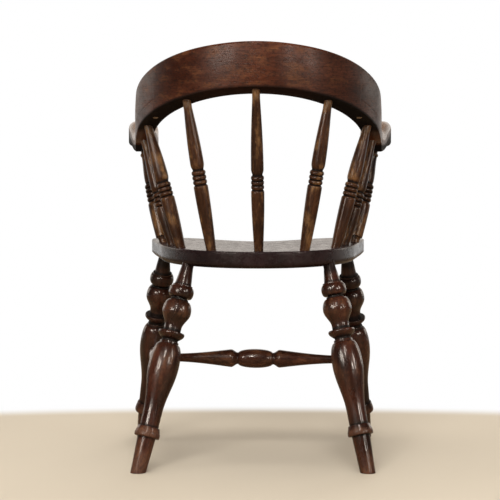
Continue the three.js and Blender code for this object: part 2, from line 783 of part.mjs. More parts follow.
// Assembly

const chair = new THREE.Group();
const seat = makeSeat();
const yoke = makeYoke();
chair.add(seat, yoke);
const seatTools = [seatDrill("spindle_back_centre", spindleSides)];
const yokeTools = [bowDrill("spindle_back_centre", spindleSides, yokeSocketDepth)];
chair.add(makeSpindle("spindle_back_centre", yokeSocketDepth));

const crossEnds = [];
const sideStretchers = [];
for (const [word, side] of [["left", 1], ["right", -1]]) {
  const legNames = [`leg_back_${word}`, `leg_front_${word}`];
  const [backEnd, frontEnd] = legNames.map((name) => legAtHeight(legAxis(name), stretcherHeights[word]));
  const sideFit = [sideStretcher, backEnd, frontEnd, leg.balusterRadius];
  const legDrills = stretcherDrills(...sideFit);
  legNames.forEach((name, i) => {
    const made = makeLeg(name);
    cut(made, [legDrills[i]]);
    chair.add(made);
    const { socket, foot } = legAxis(name);
    seatTools.push(drill(legSides, leg.tenonRadius, -legSocketDepth, cutOverrun, socket, foot));
  });
  const stretcher = makeStretcher(`stretcher_side_${word}`, ...sideFit);
  crossEnds.push(backEnd.clone().lerp(frontEnd, 1 / 2));
  sideStretchers.push(stretcher);
  chair.add(stretcher);

  const arm = makeArm(`arm_${word}`, side);
  const postName = `arm_post_${word}`;
  const armTools = [bowDrill(postName, postSides, yokeSocketDepth)];
  for (const name of [`spindle_corner_${word}`, `spindle_side_${word}`]) {
    chair.add(makeSpindle(name, tailSocketDepth));
    seatTools.push(seatDrill(name, spindleSides));
    armTools.push(bowDrill(name, spindleSides, tailSocketDepth));
  }
  const backName = `spindle_back_${word}`;
  chair.add(makeSpindle(backName, yokeSocketDepth), makePost(postName));
  seatTools.push(seatDrill(backName, spindleSides), seatDrill(postName, postSides));
  yokeTools.push(bowDrill(backName, spindleSides, yokeSocketDepth));

  const { plug, shank } = screwDrills(side);
  armTools.push(plug, shank);
  yokeTools.push(lapCutter(side), shank);
  cut(arm, armTools);
  chair.add(arm, makeScrew(`arm_screw_${word}`, side), makePlug(`screw_plug_${word}`, side));
}

const crossFit = [crossStretcher, ...crossEnds, sideStretcher.beadRadius];
stretcherDrills(...crossFit).forEach((tool, i) => cut(sideStretchers[i], [tool]));
chair.add(makeStretcher("stretcher_cross", ...crossFit));
cut(seat, seatTools);
cut(yoke, yokeTools);

// The origin is on the floor, under the middle of the whole chair
const box = new THREE.Box3().setFromObject(chair, true);
const middle = box.getCenter(new THREE.Vector3());
chair.position.set(-middle.x, -middle.y, -box.min.z);

export default chair;
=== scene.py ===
import math

import bpy
import numpy as np
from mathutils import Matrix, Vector


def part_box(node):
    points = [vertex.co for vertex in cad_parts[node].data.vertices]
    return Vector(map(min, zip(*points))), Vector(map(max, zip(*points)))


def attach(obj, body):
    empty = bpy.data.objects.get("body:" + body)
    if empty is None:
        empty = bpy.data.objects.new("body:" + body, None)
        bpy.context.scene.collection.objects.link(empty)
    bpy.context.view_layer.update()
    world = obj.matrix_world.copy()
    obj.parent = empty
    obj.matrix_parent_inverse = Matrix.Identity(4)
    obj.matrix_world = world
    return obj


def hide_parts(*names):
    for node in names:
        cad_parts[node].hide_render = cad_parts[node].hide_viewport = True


# A captains chair, seen from behind. Lengths in the dictionaries are millimetres in the chair's own frame,
# which has X 0 in the middle of the seat; toRow() takes them into the row frame, in metres.
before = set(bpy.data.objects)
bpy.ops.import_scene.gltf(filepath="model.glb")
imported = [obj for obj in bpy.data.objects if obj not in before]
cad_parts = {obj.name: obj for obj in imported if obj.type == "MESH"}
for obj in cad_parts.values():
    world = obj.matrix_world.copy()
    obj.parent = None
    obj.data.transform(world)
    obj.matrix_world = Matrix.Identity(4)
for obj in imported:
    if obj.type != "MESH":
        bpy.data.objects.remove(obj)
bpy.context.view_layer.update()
print("frame loaded")

glueGap = 0.3  # round every tenon, plug and screw
mouthLength = 5  # how far a tenon stays parallel outside its socket
drillRun = 14  # from where a drill starts to the wood
seeds = dict(legs=0, sides=10, cross=12, uprights=20, bow=45, plugs=50)  # the first of each kind

seat = dict(
    top=442, thickness=34, backY=205, arrisX=200, arrisY=12, arrisTurn=4, quarterRound=0.55,
    frontX=236, frontY=-222, frontBow=10, cornerRadius=38, ease=3, socketDepth=22,
    bevel=6, bevelLead=1.5, bevelTurn=(0.4, 0.3), bevelSwell=0.2, bevelTail=1.2,
    dishDepth=11, dishHalfWidth=172, dishBackY=120, dishFullY=10, frontDip=8,
    outlineSteps=(56, 34, 14, 30), easeRings=6, topRings=46, sharpAngle=30,
    rubbedDepth=14, rubbed=0.2, darkerHeight=8, grimeAndShade=-0.3, grainShift=310,
)

seatLow, seatHigh = (np.array(corner) * 1000 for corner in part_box("seat"))
chairShift = np.array([(seatLow[0] + seatHigh[0]) / 2, seatHigh[1] - seat["backY"], 0])


def toRow(points):
    # chair millimetres plus the chair's shift, times a thousandth
    return (np.asarray(points) + chairShift) * 0.001


def fromRow(points):
    return np.asarray(points) * 1000 - chairShift


def lerp(a, b, share):
    return a + (b - a) * share


def blend(value, start, end):
    # 3t^2 - 2t^3 of the share t from start to end
    share = np.clip((value - start) / (end - start), 0, 1)
    return share * share * (3 - 2 * share)


def turnFlat(x, y, degrees):
    # about the vertical: x cos - y sin, and x sin + y cos
    turn = math.radians(degrees)
    return x * math.cos(turn) - y * math.sin(turn), x * math.sin(turn) + y * math.cos(turn)


def unit(vector):
    return vector / np.linalg.norm(vector)


def gridFaces(rings, count):
    # quads between each ring and the next, and a fan from a hub to the first and last ring
    i = np.arange(count)
    j = (i + 1) % count
    base = np.arange(rings - 1)[:, None] * count
    quads = np.stack([base + i, base + j, base + j + count, base + i + count], axis=-1).reshape(-1, 4)
    hub, last = np.full(count, rings * count), (rings - 1) * count
    fans = np.concatenate([np.stack([j, i, hub], axis=-1), np.stack([last + i, last + j, hub + 1], axis=-1)])
    return quads, fans


def gridMesh(name, grid):
    # grid is rings x points x 3, in chair millimetres; turned the right way out by the sign of its volume
    rings, count, _ = grid.shape
    points = np.concatenate([grid.reshape(-1, 3), grid[[0, -1]].mean(axis=1)])
    quads, fans = gridFaces(rings, count)
    corners = points[np.concatenate([quads[:, :3], quads[:, [0, 2, 3]], fans])]
    volume = np.einsum("ij,ij->i", corners[:, 0], np.cross(corners[:, 1], corners[:, 2])).sum()
    step = 1 if volume > 0 else -1
    faces = quads[:, ::step].tolist() + fans[:, ::step].tolist()
    mesh = bpy.data.meshes.new(name)
    mesh.from_pydata(toRow(points).tolist(), [], faces)
    mesh.validate()
    return mesh


def addObject(name, data):
    made = bpy.data.objects.new(name, data)
    bpy.context.collection.objects.link(made)
    return made


def cutAway(mesh, tools):
    # what is left of a closed mesh once the closed tools are taken from it
    body = addObject("cutting", mesh)
    cutters = [addObject("tool", tool) for tool in tools]
    for cutter in cutters:
        cut = body.modifiers.new("cut", "BOOLEAN")
        cut.operation, cut.solver, cut.object = "DIFFERENCE", "MANIFOLD", cutter
    evaluated = body.evaluated_get(bpy.context.evaluated_depsgraph_get())
    result = bpy.data.meshes.new_from_object(evaluated)
    for used in [body, *cutters]:
        bpy.data.objects.remove(used)
    result.name = mesh.name
    return result


def addPiece(name, node, mesh, slot, grainOf, sharpAngle=38):
    # grainOf gives each point's place in the wood, along the grain last, and its wear: rubbed 1, grime and
    # painted shade -1
    count = len(mesh.vertices)
    flat = np.empty(count * 3)
    mesh.vertices.foreach_get("co", flat)
    places, wearAndShade = grainOf(fromRow(flat.reshape(-1, 3)))
    grain = mesh.attributes.new("grain", "FLOAT_VECTOR", "POINT")
    grain.data.foreach_set("vector", (places * 0.001).ravel())
    mesh.attributes.new("wearAndShade", "FLOAT", "POINT").data.foreach_set("value", wearAndShade)
    mesh.polygons.foreach_set("use_smooth", np.ones(len(mesh.polygons), dtype=bool))
    mesh.set_sharp_from_angle(angle=math.radians(sharpAngle))
    mesh.materials.clear()
    mesh.materials.append(finishes[slot])
    piece = addObject(name, mesh)
    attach(piece, "root")
    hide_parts(node)


def colour(code):
    # sRGB hex to linear: ((c + 0.055) / 1.055) to the power 2.4
    values = np.array([int(code[i:i + 2], 16) / 255 for i in (0, 2, 4)])
    return (*np.where(values <= 0.04045, values / 12.92, ((values + 0.055) / 1.055) ** 2.4), 1)


def setInputs(node, inputs):
    # each set to its value, or linked to it where that is another node's socket; i0 is the first input
    for key, value in inputs.items():
        socket = node.inputs[int(key[1:])] if key[0] == "i" and key[1:].isdigit() else node.inputs[key]
        if isinstance(value, bpy.types.NodeSocket):
            node.id_data.links.new(value, socket)
        else:
            socket.default_value = value


def addNode(tree, kind, settings=None, **inputs):
    made = tree.nodes.new("ShaderNode" + kind)
    for key, value in (settings or {}).items():
        setattr(made, key, value)
    setInputs(made, inputs)
    return made


def math2(operation, a, b):
    return addNode(a.id_data, "Math", dict(operation=operation), i0=a, i1=b).outputs[0]


def plus(a, b):
    return math2("ADD", a, b)


def times(a, b):
    return math2("MULTIPLY", a, b)


def ramp(value, low, high, fromValue=0.0, toValue=1.0):
    return addNode(value.id_data, "MapRange", dict(interpolation_type="SMOOTHSTEP"), i0=value, i1=low,
                   i2=high, i3=fromValue, i4=toValue).outputs[0]


def mixColour(factor, a, b):
    return addNode(factor.id_data, "Mix", dict(data_type="RGBA"), i0=factor, i6=a, i7=b).outputs[2]


def grainNoise(grain, across, along, detail=3.0, roughness=0.55, distortion=0.0):
    # noise stretched along the grain, in waves per metre
    scaled = addNode(grain.id_data, "Mapping", i0=grain, i3=(across, across, along)).outputs[0]
    return addNode(grain.id_data, "TexNoise", i0=scaled, Scale=1.0, Detail=detail, Roughness=roughness,
                   Distortion=distortion).outputs[0]


def newFinish(name):
    material = bpy.data.materials.new(name)
    material.use_nodes = True
    return material, material.node_tree, material.node_tree.nodes["Principled BSDF"]


# what a wood has where its own look gives nothing else. Steps are the values of its noise, or of the wear,
# between which a thing comes in
everyWood = dict(
    dirtAndShade="0a0504", dentDepth=1.2, speckle=0.4, figure=0.35, streaks=0.4, pores=0.5, rub=(0.6, 0.9),
    rubAmount=0.5, rubbedDullness=0.25, specular=0.2, rubbedCoat=0.0, coatRoughness=0.14, turningMarks=0.0,
    coatBump=0.3, plainSteps=(0.3, 0.7), figureSteps=(0.42, 0.66), bareSteps=(0.5, 0.85),
    streakSteps=(0.34, 0.62), poreSteps=(0.6, 0.72), speckleSteps=(0.46, 0.66), grimeAndShadeSteps=(-0.75, -0.06),
    glossSteps=(0.3, 0.7), rubbedSteps=(0.45, 0.8), coatGrimeSteps=(0.0, 0.8), coatStreakSteps=(0.36, 0.62),
    wearInPatches=0.3, chips=1.6, bareShare=0.85, glossBelow=0.04, glossAbove=0.09, poreDullness=0.18,
    grimeDullness=0.35, grimyCoat=0.1, streakedCoat=0.5, streakHeight=0.45, poreHeight=-0.5, bump=0.35,
    bumpDistance=0.0004,
)


def polishedWood(name, look):
    # stain that lies deeper in the figure, rubbed lighter where wear is above 0 and in patches, chipped bare
    # where it is highest, darkened where it is below 0, with old polish in hollows and with painted shade,
    # then glossed over
    material, tree, shader = newFinish(name)
    look = {**everyWood, **look}
    grain = addNode(tree, "Attribute", dict(attribute_name="grain")).outputs["Vector"]
    wearAndShade = addNode(tree, "Attribute", dict(attribute_name="wearAndShade")).outputs["Fac"]
    cloud = grainNoise(grain, *look["clouds"], detail=3)
    patch = grainNoise(grain, *look["patches"], detail=5, roughness=0.62)
    bands = grainNoise(grain, *look["bands"], detail=3, roughness=0.6, distortion=0.5)
    dents = grainNoise(grain, *look["dents"], detail=2)
    speckle = grainNoise(grain, across=230, along=130, detail=3, roughness=0.65)
    streaks = grainNoise(grain, across=700, along=22, detail=3, roughness=0.6)
    dashes = grainNoise(grain, across=1500, along=70, detail=1, roughness=0.5)
    toolMarks = grainNoise(grain, across=3, along=800, detail=1)

    crest = plus(times(wearAndShade, look["wearInPatches"]), patch)
    chipped = plus(wearAndShade, times(plus(speckle, -0.5), look["chips"]))
    pores = ramp(dashes, *look["poreSteps"])
    # darker where wear is below 0: old grime in hollows, and painted shade where the pieces put it
    grimeAndShade = ramp(wearAndShade, *look["grimeAndShadeSteps"], look["grimeAndShade"], 0.0)
    layers = [
        ("plain", ramp(cloud, *look["plainSteps"])),
        ("deep", ramp(bands, *look["figureSteps"], 0.0, look["figure"])),
        ("rubbed", ramp(crest, *look["rub"], 0.0, look["rubAmount"])),
        ("bare", ramp(chipped, *look["bareSteps"], 0.0, look["bareShare"])),
        ("deep", ramp(streaks, *look["streakSteps"], look["streaks"], 0.0)),
        ("dirtAndShade", ramp(speckle, *look["speckleSteps"], 0.0, look["speckle"])),
        ("dirtAndShade", times(pores, look["pores"])),
        ("dirtAndShade", grimeAndShade),
    ]
    tint = colour(look["deep"])
    for stain, factor in layers:
        tint = mixColour(factor, tint, colour(look[stain]))

    gloss = look["gloss"]
    dull = ramp(patch, *look["glossSteps"], gloss - look["glossBelow"], gloss + look["glossAbove"])
    dull = plus(dull, times(pores, look["poreDullness"]))
    rubbed = times(ramp(wearAndShade, *look["rubbedSteps"]), look["rubbedDullness"])
    dull = plus(dull, plus(rubbed, times(grimeAndShade, look["grimeDullness"])))
    coat = ramp(wearAndShade, *look["rubbedSteps"], look["coat"], look["coat"] + look["rubbedCoat"])
    clean = ramp(grimeAndShade, *look["coatGrimeSteps"], 1.0, look["grimyCoat"])
    filled = ramp(streaks, *look["coatStreakSteps"], look["streakedCoat"], 1.0)
    relief = plus(times(streaks, look["streakHeight"]), times(pores, look["poreHeight"]))
    relief = plus(plus(relief, times(dents, look["dentDepth"])), times(toolMarks, look["turningMarks"]))
    normal, coatNormal = (addNode(tree, "Bump", Strength=strength, Distance=look["bumpDistance"],
                                  Height=relief).outputs[0] for strength in (look["bump"], look["coatBump"]))
    setInputs(shader, {
        "Base Color": tint, "Roughness": dull, "Coat Weight": times(coat, times(clean, filled)),
        "Coat Roughness": look["coatRoughness"], "Specular IOR Level": look["specular"],
        "Normal": normal, "Coat Normal": coatNormal,
    })
    return material


def steel(name):
    # drawn wire, a little dull, with lines round the shank
    material, tree, shader = newFinish(name)
    place = addNode(tree, "TexCoord").outputs["Object"]
    lines = grainNoise(place, across=900, along=90, detail=2)
    tint = mixColour(lines, colour("66635c"), colour("8a867e"))
    setInputs(shader, {"Base Color": tint, "Roughness": ramp(lines, 0.3, 0.7, 0.35, 0.55), "Metallic": 1.0})
    return material


# clouds, patches, bands and dents are waves per metre across and along the grain
woodLooks = dict(
    seat_wood=dict(
        deep="1c1112", plain="382627", rubbed="574038", bare="574038", dirtAndShade="0b0606", clouds=(14, 8),
        patches=(60, 30), bands=(130, 6), dents=(30, 24), dentDepth=1.0, speckle=0.2, grimeAndShade=0.7, gloss=0.27,
        rubbedDullness=0.1, specular=0.25, coat=0.22),
    leg_wood=dict(
        deep="261109", plain="5c3020", rubbed="855538", bare="6e4936", clouds=(20, 9), patches=(46, 20),
        bands=(130, 9), dents=(45, 36), figure=0.3, streaks=0.35, grimeAndShade=0.85, rub=(0.56, 0.86),
        rubAmount=0.75, gloss=0.28, specular=0.25, coat=0.9, rubbedCoat=-0.6, coatRoughness=0.12,
        turningMarks=0.5, coatBump=0.2),
    spindle_wood=dict(
        deep="301a0e", plain="603a22", rubbed="a07346", bare="a08d78", clouds=(22, 10), patches=(52, 20),
        bands=(140, 12), dents=(60, 40), pores=0.55, grimeAndShade=0.95, rub=(0.49, 0.72), rubAmount=0.85,
        gloss=0.32, coat=0.3, rubbedCoat=-0.2, turningMarks=0.6, coatBump=0.2),
    bow_wood=dict(
        deep="3c190b", plain="693823", rubbed="8a542e", bare="8e7058", dirtAndShade="0c0504", clouds=(17, 8),
        patches=(52, 24), bands=(110, 26), dents=(16, 9), dentDepth=1.5, speckle=0.5, figure=0.45,
        streaks=0.5, pores=0.6, grimeAndShade=1.0, rub=(0.44, 0.72), rubAmount=0.55, gloss=0.37,
        rubbedDullness=-0.12, coat=0.12, rubbedCoat=0.86, coatRoughness=0.28, coatBump=0.4),
    # the plugs' pale grey is partly their own end grain and partly a painted highlight, since they sit in
    # shade
    plug_wood=dict(
        deep="8f7f70", plain="c4b6a6", rubbed="d2c6b8", bare="d2c6b8", dirtAndShade="5a4c40", clouds=(300, 200),
        patches=(500, 300), bands=(300, 90), dents=(200, 200), dentDepth=0.5, speckle=0.2, figure=0.2,
        streaks=0.2, pores=0.4, grimeAndShade=0.5, gloss=0.45, rubbedDullness=0.0, specular=0.3, coat=0.1,
        coatRoughness=0.3),
)
finishes = {slot: polishedWood(slot.replace("_", " "), look) for slot, look in woodLooks.items()}
finishes["screw_steel"] = steel("screw steel")
print("finishes made")


def seatTopAt(x, y):
    # rim height less the dish: (1 - (x/w)^2)^2 across, eased in from the back and out to the front dip
    across = np.maximum(0, 1 - (x / seat["dishHalfWidth"]) ** 2) ** 2
    depth = lerp(seat["dishDepth"], seat["frontDip"], blend(y, seat["dishFullY"], seat["frontY"]))
    return seat["top"] - depth * across * blend(y, seat["dishBackY"], seat["dishFullY"])


def bezier(points, steps):
    # the curve pulled by its points, at evenly spaced shares, without its first point
    t = (np.arange(1, steps + 1) / steps)[:, None]
    pulls = [np.asarray(p, float)[None, :] for p in points]
    while len(pulls) > 1:
        pulls = [a + (b - a) * t for a, b in zip(pulls, pulls[1:])]
    return pulls[0]


def seatOutline():
    # half an outline from the back to the front, then its mirror image, anticlockwise from above
    arris = np.array([seat["arrisX"], seat["arrisY"]], float)
    corner = np.array([seat["frontX"], seat["frontY"]], float)
    backMiddle = np.array([0, seat["backY"]], float)
    frontMiddle = np.array([0, seat["frontY"] - seat["frontBow"]], float)
    frontPull = np.array([seat["frontX"] / 2, frontMiddle[1]])
    backPull = np.array([seat["arrisX"] * seat["quarterRound"], seat["backY"]])
    flare = unit(arris - corner)
    arrival = np.array(turnFlat(*flare, seat["arrisTurn"]))
    sidePull = arris + arrival * (seat["backY"] - seat["arrisY"]) * seat["quarterRound"]
    cornerStart = corner + flare * seat["cornerRadius"]
    cornerEnd = corner + unit(frontPull - corner) * seat["cornerRadius"]
    back, side, nose, front = seat["outlineSteps"]
    half = np.concatenate([
        backMiddle[None, :],
        bezier([backMiddle, backPull, sidePull, arris], back),
        bezier([arris, cornerStart], side),
        bezier([cornerStart, corner, cornerEnd], nose),
        bezier([cornerEnd, frontPull, frontMiddle], front),
    ])
    mirrored = half[1:-1] * [-1, 1]
    return np.concatenate([mirrored, half[::-1]])


def seatMesh():
    # rings out along the underside, round the bevel, up the side, round the top's ease and in over the top
    outline = seatOutline()
    along = np.roll(outline, -1, axis=0) - np.roll(outline, 1, axis=0)
    along /= np.linalg.norm(along, axis=1)[:, None]
    inward = np.stack([-along[:, 1], along[:, 0]], axis=1)
    bevel, ease, swell = seat["bevel"], seat["ease"], seat["bevelSwell"]
    bottom = seat["top"] - seat["thickness"]
    cornerIn, cornerUp = seat["bevelTurn"]

    def ring(flat, height):
        return np.column_stack([flat, height + np.zeros(len(flat))])

    def inset(distance):
        return outline + inward * distance

    rings = [ring(outline * share, bottom) for share in (0.25, 0.6, 0.9)]
    sides = [(bevel + seat["bevelLead"], 0), (bevel - cornerIn, cornerUp)]
    sides += [(bevel * (1 - share) + swell, bevel * share + swell) for share in (0.1, 0.35, 0.65, 0.9)]
    sides += [(0, bevel + seat["bevelTail"])]
    sides += [(0, bevel + (seat["thickness"] - bevel - ease) * share) for share in (0.25, 0.5, 0.75)]
    rings += [ring(inset(distance), bottom + height) for distance, height in sides]
    for turn in np.linspace(0, math.pi / 2, seat["easeRings"]):
        flat = inset(ease * (1 - math.cos(turn)))
        rings.append(ring(flat, seatTopAt(*flat.T) - ease * (1 - math.sin(turn))))
    for share in np.linspace(1 - ease / seat["arrisX"], 0, seat["topRings"] + 1)[1:-1]:
        flat = outline * share
        rings.append(ring(flat, seatTopAt(*flat.T)))
    return gridMesh("seat plank", np.array(rings))


# the shares of a cut's length and of its change of radius that are done at share u of the cut
turningForms = dict(
    taper=lambda u: (u, u),
    ease=lambda u: (u, (1 - np.cos(np.pi * u)) / 2),
    sweep=lambda u: (u, np.sin(np.pi * u / 2)),
    fall=lambda u: (u, 1 - np.cos(np.pi * u / 2)),
    dome=lambda u: (1 - np.cos(np.pi * u / 2), np.sin(np.pi * u / 2)),
    bead=lambda u: ((1 - np.cos(np.pi * u)) / 2, np.sin(np.pi * u)),
)


def cutList(order, sizes, start, end, spare):
    # each cut of the order is form, length and radius, looked up in the sizes, with - for a step; the spare
    # length takes what the others leave between start and end. Also where each named length ends
    order = [cut.split() for cut in order]
    sizes = {**sizes, "-Length": 0, spare + "Length": 0}
    sizes[spare + "Length"] = end - start - sum(sizes[name + "Length"] for _, name, _ in order)
    lengths = [sizes[name + "Length"] for _, name, _ in order]
    cuts = [(form, length, sizes[radius + "Radius"]) for (form, _, radius), length in zip(order, lengths)]
    return cuts, dict(zip((name for _, name, _ in order), start + np.cumsum(lengths)))


def turnedProfile(start, radius, cuts, soften=0.45, stride=0.2, longest=4, bend=0.16):
    # cuts (form, length, radius) joined end to end, sampled evenly, then averaged over a short bell so that
    # arrises are rounded; thinned to one point for each longest length, or bend in radians, that it runs
    along, out = [np.array([start])], [np.array([radius])]
    for form, length, target in cuts:
        count = max(2, math.ceil((abs(length) + abs(target - out[-1][-1])) / stride))
        way, change = turningForms[form](np.arange(1, count + 1) / count)
        along.append(along[-1][-1] + length * way)
        out.append(out[-1][-1] + (target - out[-1][-1]) * change)
    along, out = np.concatenate(along), np.concatenate(out)
    travel = np.concatenate([[0], np.cumsum(np.hypot(np.diff(along), np.diff(out)))])
    even = np.arange(0, travel[-1], stride)
    along, out = np.interp(even, travel, along), np.interp(even, travel, out)
    reach = int(3 * soften / stride)
    bell = np.exp(-0.5 * (np.arange(-reach, reach + 1) * stride / soften) ** 2)
    bell /= bell.sum()
    along, out = (np.convolve(np.pad(v, reach, mode="edge"), bell, "valid") for v in (along, out))
    turn = np.unwrap(np.arctan2(np.gradient(out), np.gradient(along)))
    passed = np.hypot(np.diff(along), np.diff(out)) / longest + np.abs(np.diff(turn)) / bend
    weight = np.concatenate([[0], np.cumsum(passed)])
    picks = np.linspace(0, weight[-1], int(weight[-1]) + 2)
    return np.interp(picks, weight, along), np.interp(picks, weight, out)


def axisFrame(start, towards):
    # the axis and two directions square to it
    axis = unit(np.asarray(towards, float) - start)
    side = unit(np.cross(axis, [0, 1, 0]))
    return axis, side, np.cross(axis, side)


def spokesOf(side, across, sides):
    # directions evenly round an axis: cos * side + sin * across
    angle = np.arange(sides) * 2 * np.pi / sides
    return np.cos(angle)[:, None] * side + np.sin(angle)[:, None] * across


def turnedMesh(name, profile, start, towards, sides, floorLength=None, sawnLength=30):
    # point = start + axis * along + radius * spoke; the sawn length at a leg's end is stretched round its rim
    # until it is level with the floor
    along, radius = profile
    axis, side, across = axisFrame(start, towards)
    spokes = spokesOf(side, across, sides)
    distance = np.repeat(along[:, None], sides, axis=1)
    if floorLength:
        level = -(start[2] + radius[:, None] * spokes[:, 2]) / axis[2]
        share = np.clip((along - (floorLength - sawnLength)) / sawnLength, 0, 1)[:, None]
        distance = distance + share * (level - floorLength)
    return gridMesh(name, start + distance[:, :, None] * axis + radius[:, None, None] * spokes)


def placeInTree(seed, reach=900):
    # where in the endless wood a piece is cut from
    return np.random.default_rng(seed).uniform(-reach, reach, 3)


def turnedGrain(profile, start, towards, seed, rubMarks=(), stride=0.5, reach=14, depth=2.6, crest=0.12):
    # a place across and along the piece's own axis, moved to its own part of the tree. Wear is the profile's
    # height over its own average, taken reach strides to both sides, in shares of the depth and at most the
    # crest; each rub mark (middle, half length, amount) adds a bell of its amount along the axis
    along, radius = profile
    axis, side, across = axisFrame(start, towards)
    even = np.arange(along[0], along[-1], stride)
    evenRadius = np.interp(even, along, radius)
    window = np.ones(2 * reach + 1) / (2 * reach + 1)
    average = np.convolve(np.pad(evenRadius, reach, mode="edge"), window, "valid")
    wearAndShade = np.clip((evenRadius - average) / depth, -1, crest)
    for middle, half, amount in rubMarks:
        wearAndShade = wearAndShade + amount * np.exp(-np.abs((even - middle) / half) ** 3)
    offset = placeInTree(seed)

    def grainOf(points):
        local = (points - start) @ np.column_stack([side, across, axis])
        return local + offset, np.interp(local[:, 2], even, wearAndShade)

    return grainOf


def drillMesh(radius, start, end, origin, towards, sides=40):
    # a closed cylinder that clears a tenon by the glue gap
    axis, side, across = axisFrame(origin, towards)
    spokes = (radius + glueGap) * spokesOf(side, across, sides)
    return gridMesh("drill", np.array([origin + axis * start + spokes, origin + axis * end + spokes]))


leg = dict(
    tenonRadius=12.2, socketDepth=25, coneLength=36, coneRadius=17.2, filletLength=3, ringFilletRadius=20.3,
    ringLength=23, ringRadius=25.4, throatLength=3, throatRadius=14.3, bulbFilletRadius=18,
    bulbRiseLength=23, bulbFallLength=33, bulbRadius=29.2, waistLength=10, waistRadius=17.5,
    discLipLength=3, discLipRadius=26.2, discFallLength=13, discRadius=27, neckLength=4, neckRadius=16.5,
    smallRingLength=5, smallRingRadius=18.8, balusterShoulderRadius=19.5, balusterRiseLength=45,
    balusterFallLength=96, balusterRadius=31, ankleRadius=19.4, ankleLowRadius=19, collarTopRadius=22,
    collarRiseLength=14, collarFlatLength=4.2, collarEdgeLength=2.8, collarRadius=25.7,
    collarEdgeRadius=24.8, footTopRadius=18.5, footRadius=15.1, footEdgeRadius=13.9, sides=72,
)
# in the turner's order
legCuts = [
    "taper tenon tenon", "taper coneRest cone", "taper - ringFillet", "taper fillet ringFillet",
    "bead ring ring", "taper - throat", "taper throat throat", "taper - bulbFillet",
    "taper fillet bulbFillet", "dome bulbRise bulb", "ease bulbFall waist", "taper waist waist",
    "taper - discLip", "taper discLip disc", "fall discFall neck", "taper neck neck", "taper - smallRing",
    "taper smallRing balusterShoulder", "dome balusterRise baluster", "ease balusterFall ankle",
    "taper ankle ankleLow", "taper - collarTop", "taper collarRise collar", "taper collarFlat collar",
    "fall collarEdge collarEdge", "taper - footTop", "taper foot foot", "taper - footEdge",
]
# rubbed above 0, darker below: from which end, in lengths of which part, the mark's middle and half length,
# then its amount, and which of the leg's own values it is multiplied by. The first two marks, on the cone's
# top and the ring just under the seat, are painted shade
legRub = [
    ("seat", "cone", 0, 0.55, 1, "grimeAndShade"), ("cone", "ring", 0.8, 0.6, -0.22, ""),
    ("waist", "discFall", 0.5, 1, -0.22, ""), ("collarRise", "balusterFall", -0.4, 0.3, -0.14, ""),
    ("bulbRise", "bulbRise", 0, 1, 0.4, ""), ("balusterRise", "balusterRise", 0, 1, 0.25, ""),
    ("collarRise", "collarRise", 0, 0.75, 0.9, "rub"), ("foot", "foot", 0, 0.8, 0.85, "rub"),
]
# socket and foot: X and Y; collar: its height above the floor; extra: more cone; the next: painted shade at
# the cone's top, under the seat; rub: this leg's share of the collar's and foot's marks; the last: painted
# shade all over, most on the front legs, which stand in the seat's shade
legPlaces = dict(
    leg_back_left=dict(socket=(143, 118), foot=(240, 220), collar=69, extra=6, grimeAndShade=-0.4, rub=1.0,
                       paintedShade=0.0),
    leg_back_right=dict(socket=(-145, 118), foot=(-220, 220), collar=73, extra=0, grimeAndShade=-0.75, rub=0.7,
                        paintedShade=0.04),
    leg_front_left=dict(socket=(201, -120), foot=(253, -240), collar=60, extra=0, grimeAndShade=-0.8, rub=0.7,
                        paintedShade=0.25),
    leg_front_right=dict(socket=(-191, -120), foot=(-236, -240), collar=60, extra=6, grimeAndShade=-0.8, rub=0.8,
                         paintedShade=0.28),
)
stretcherHeights = dict(left=205, right=200)
sideStretcher = dict(
    beadLength=68, beadRadius=19.6, neckRadius=11.5, swellLength=15, swellRadius=17, endRadius=8.6,
    socketDepth=20, soften=1.5, sides=48, rubMarks=[(0, 130, 0.2)],
)
crossStretcher = dict(
    beadLength=72, beadRadius=19.9, neckRadius=11.8, swellLength=15, swellRadius=18.9, endRadius=8.3,
    socketDepth=15, soften=1.5, sides=48, rubMarks=[(-110, 75, 0.5), (0, 40, 0.4), (110, 75, 0.3)],
)
stretcherCuts = ["taper tenon end", "fall slope swell", "ease swell neck", "bead bead bead",
                 "ease swell swell", "sweep slope end", "taper tenon end"]


def legAxis(node):
    place = legPlaces[node]
    socket = np.array([*place["socket"], seat["top"] - seat["thickness"]], float)
    return socket, np.array([*place["foot"], 0], float)


def legProfile(node):
    # from the tenon in the seat to the floor; the ankle is as long as the other cuts leave it
    place, (socket, foot) = legPlaces[node], legAxis(node)
    length = np.linalg.norm(foot - socket)
    start = glueGap - leg["socketDepth"]
    sizes = dict(leg, tenonLength=mouthLength - start, footLength=place["collar"] * length / socket[2],
                 coneRestLength=leg["coneLength"] + place["extra"] - mouthLength)
    cuts, ends = cutList(legCuts, sizes, start, length, "ankle")
    ends.update(seat=0, cone=leg["coneLength"])
    # painted shade over the whole leg, most on the front legs, which stand in the seat's shade
    rubMarks = [(length / 2, length, -place["paintedShade"])]
    for reached, part, middle, half, amount, share in legRub:
        partLength = sizes[part + "Length"]
        rubMarks.append((ends[reached] + middle * partLength, half * partLength,
                         amount * place.get(share, 1)))
    return turnedProfile(start, leg["tenonRadius"], cuts), length, rubMarks


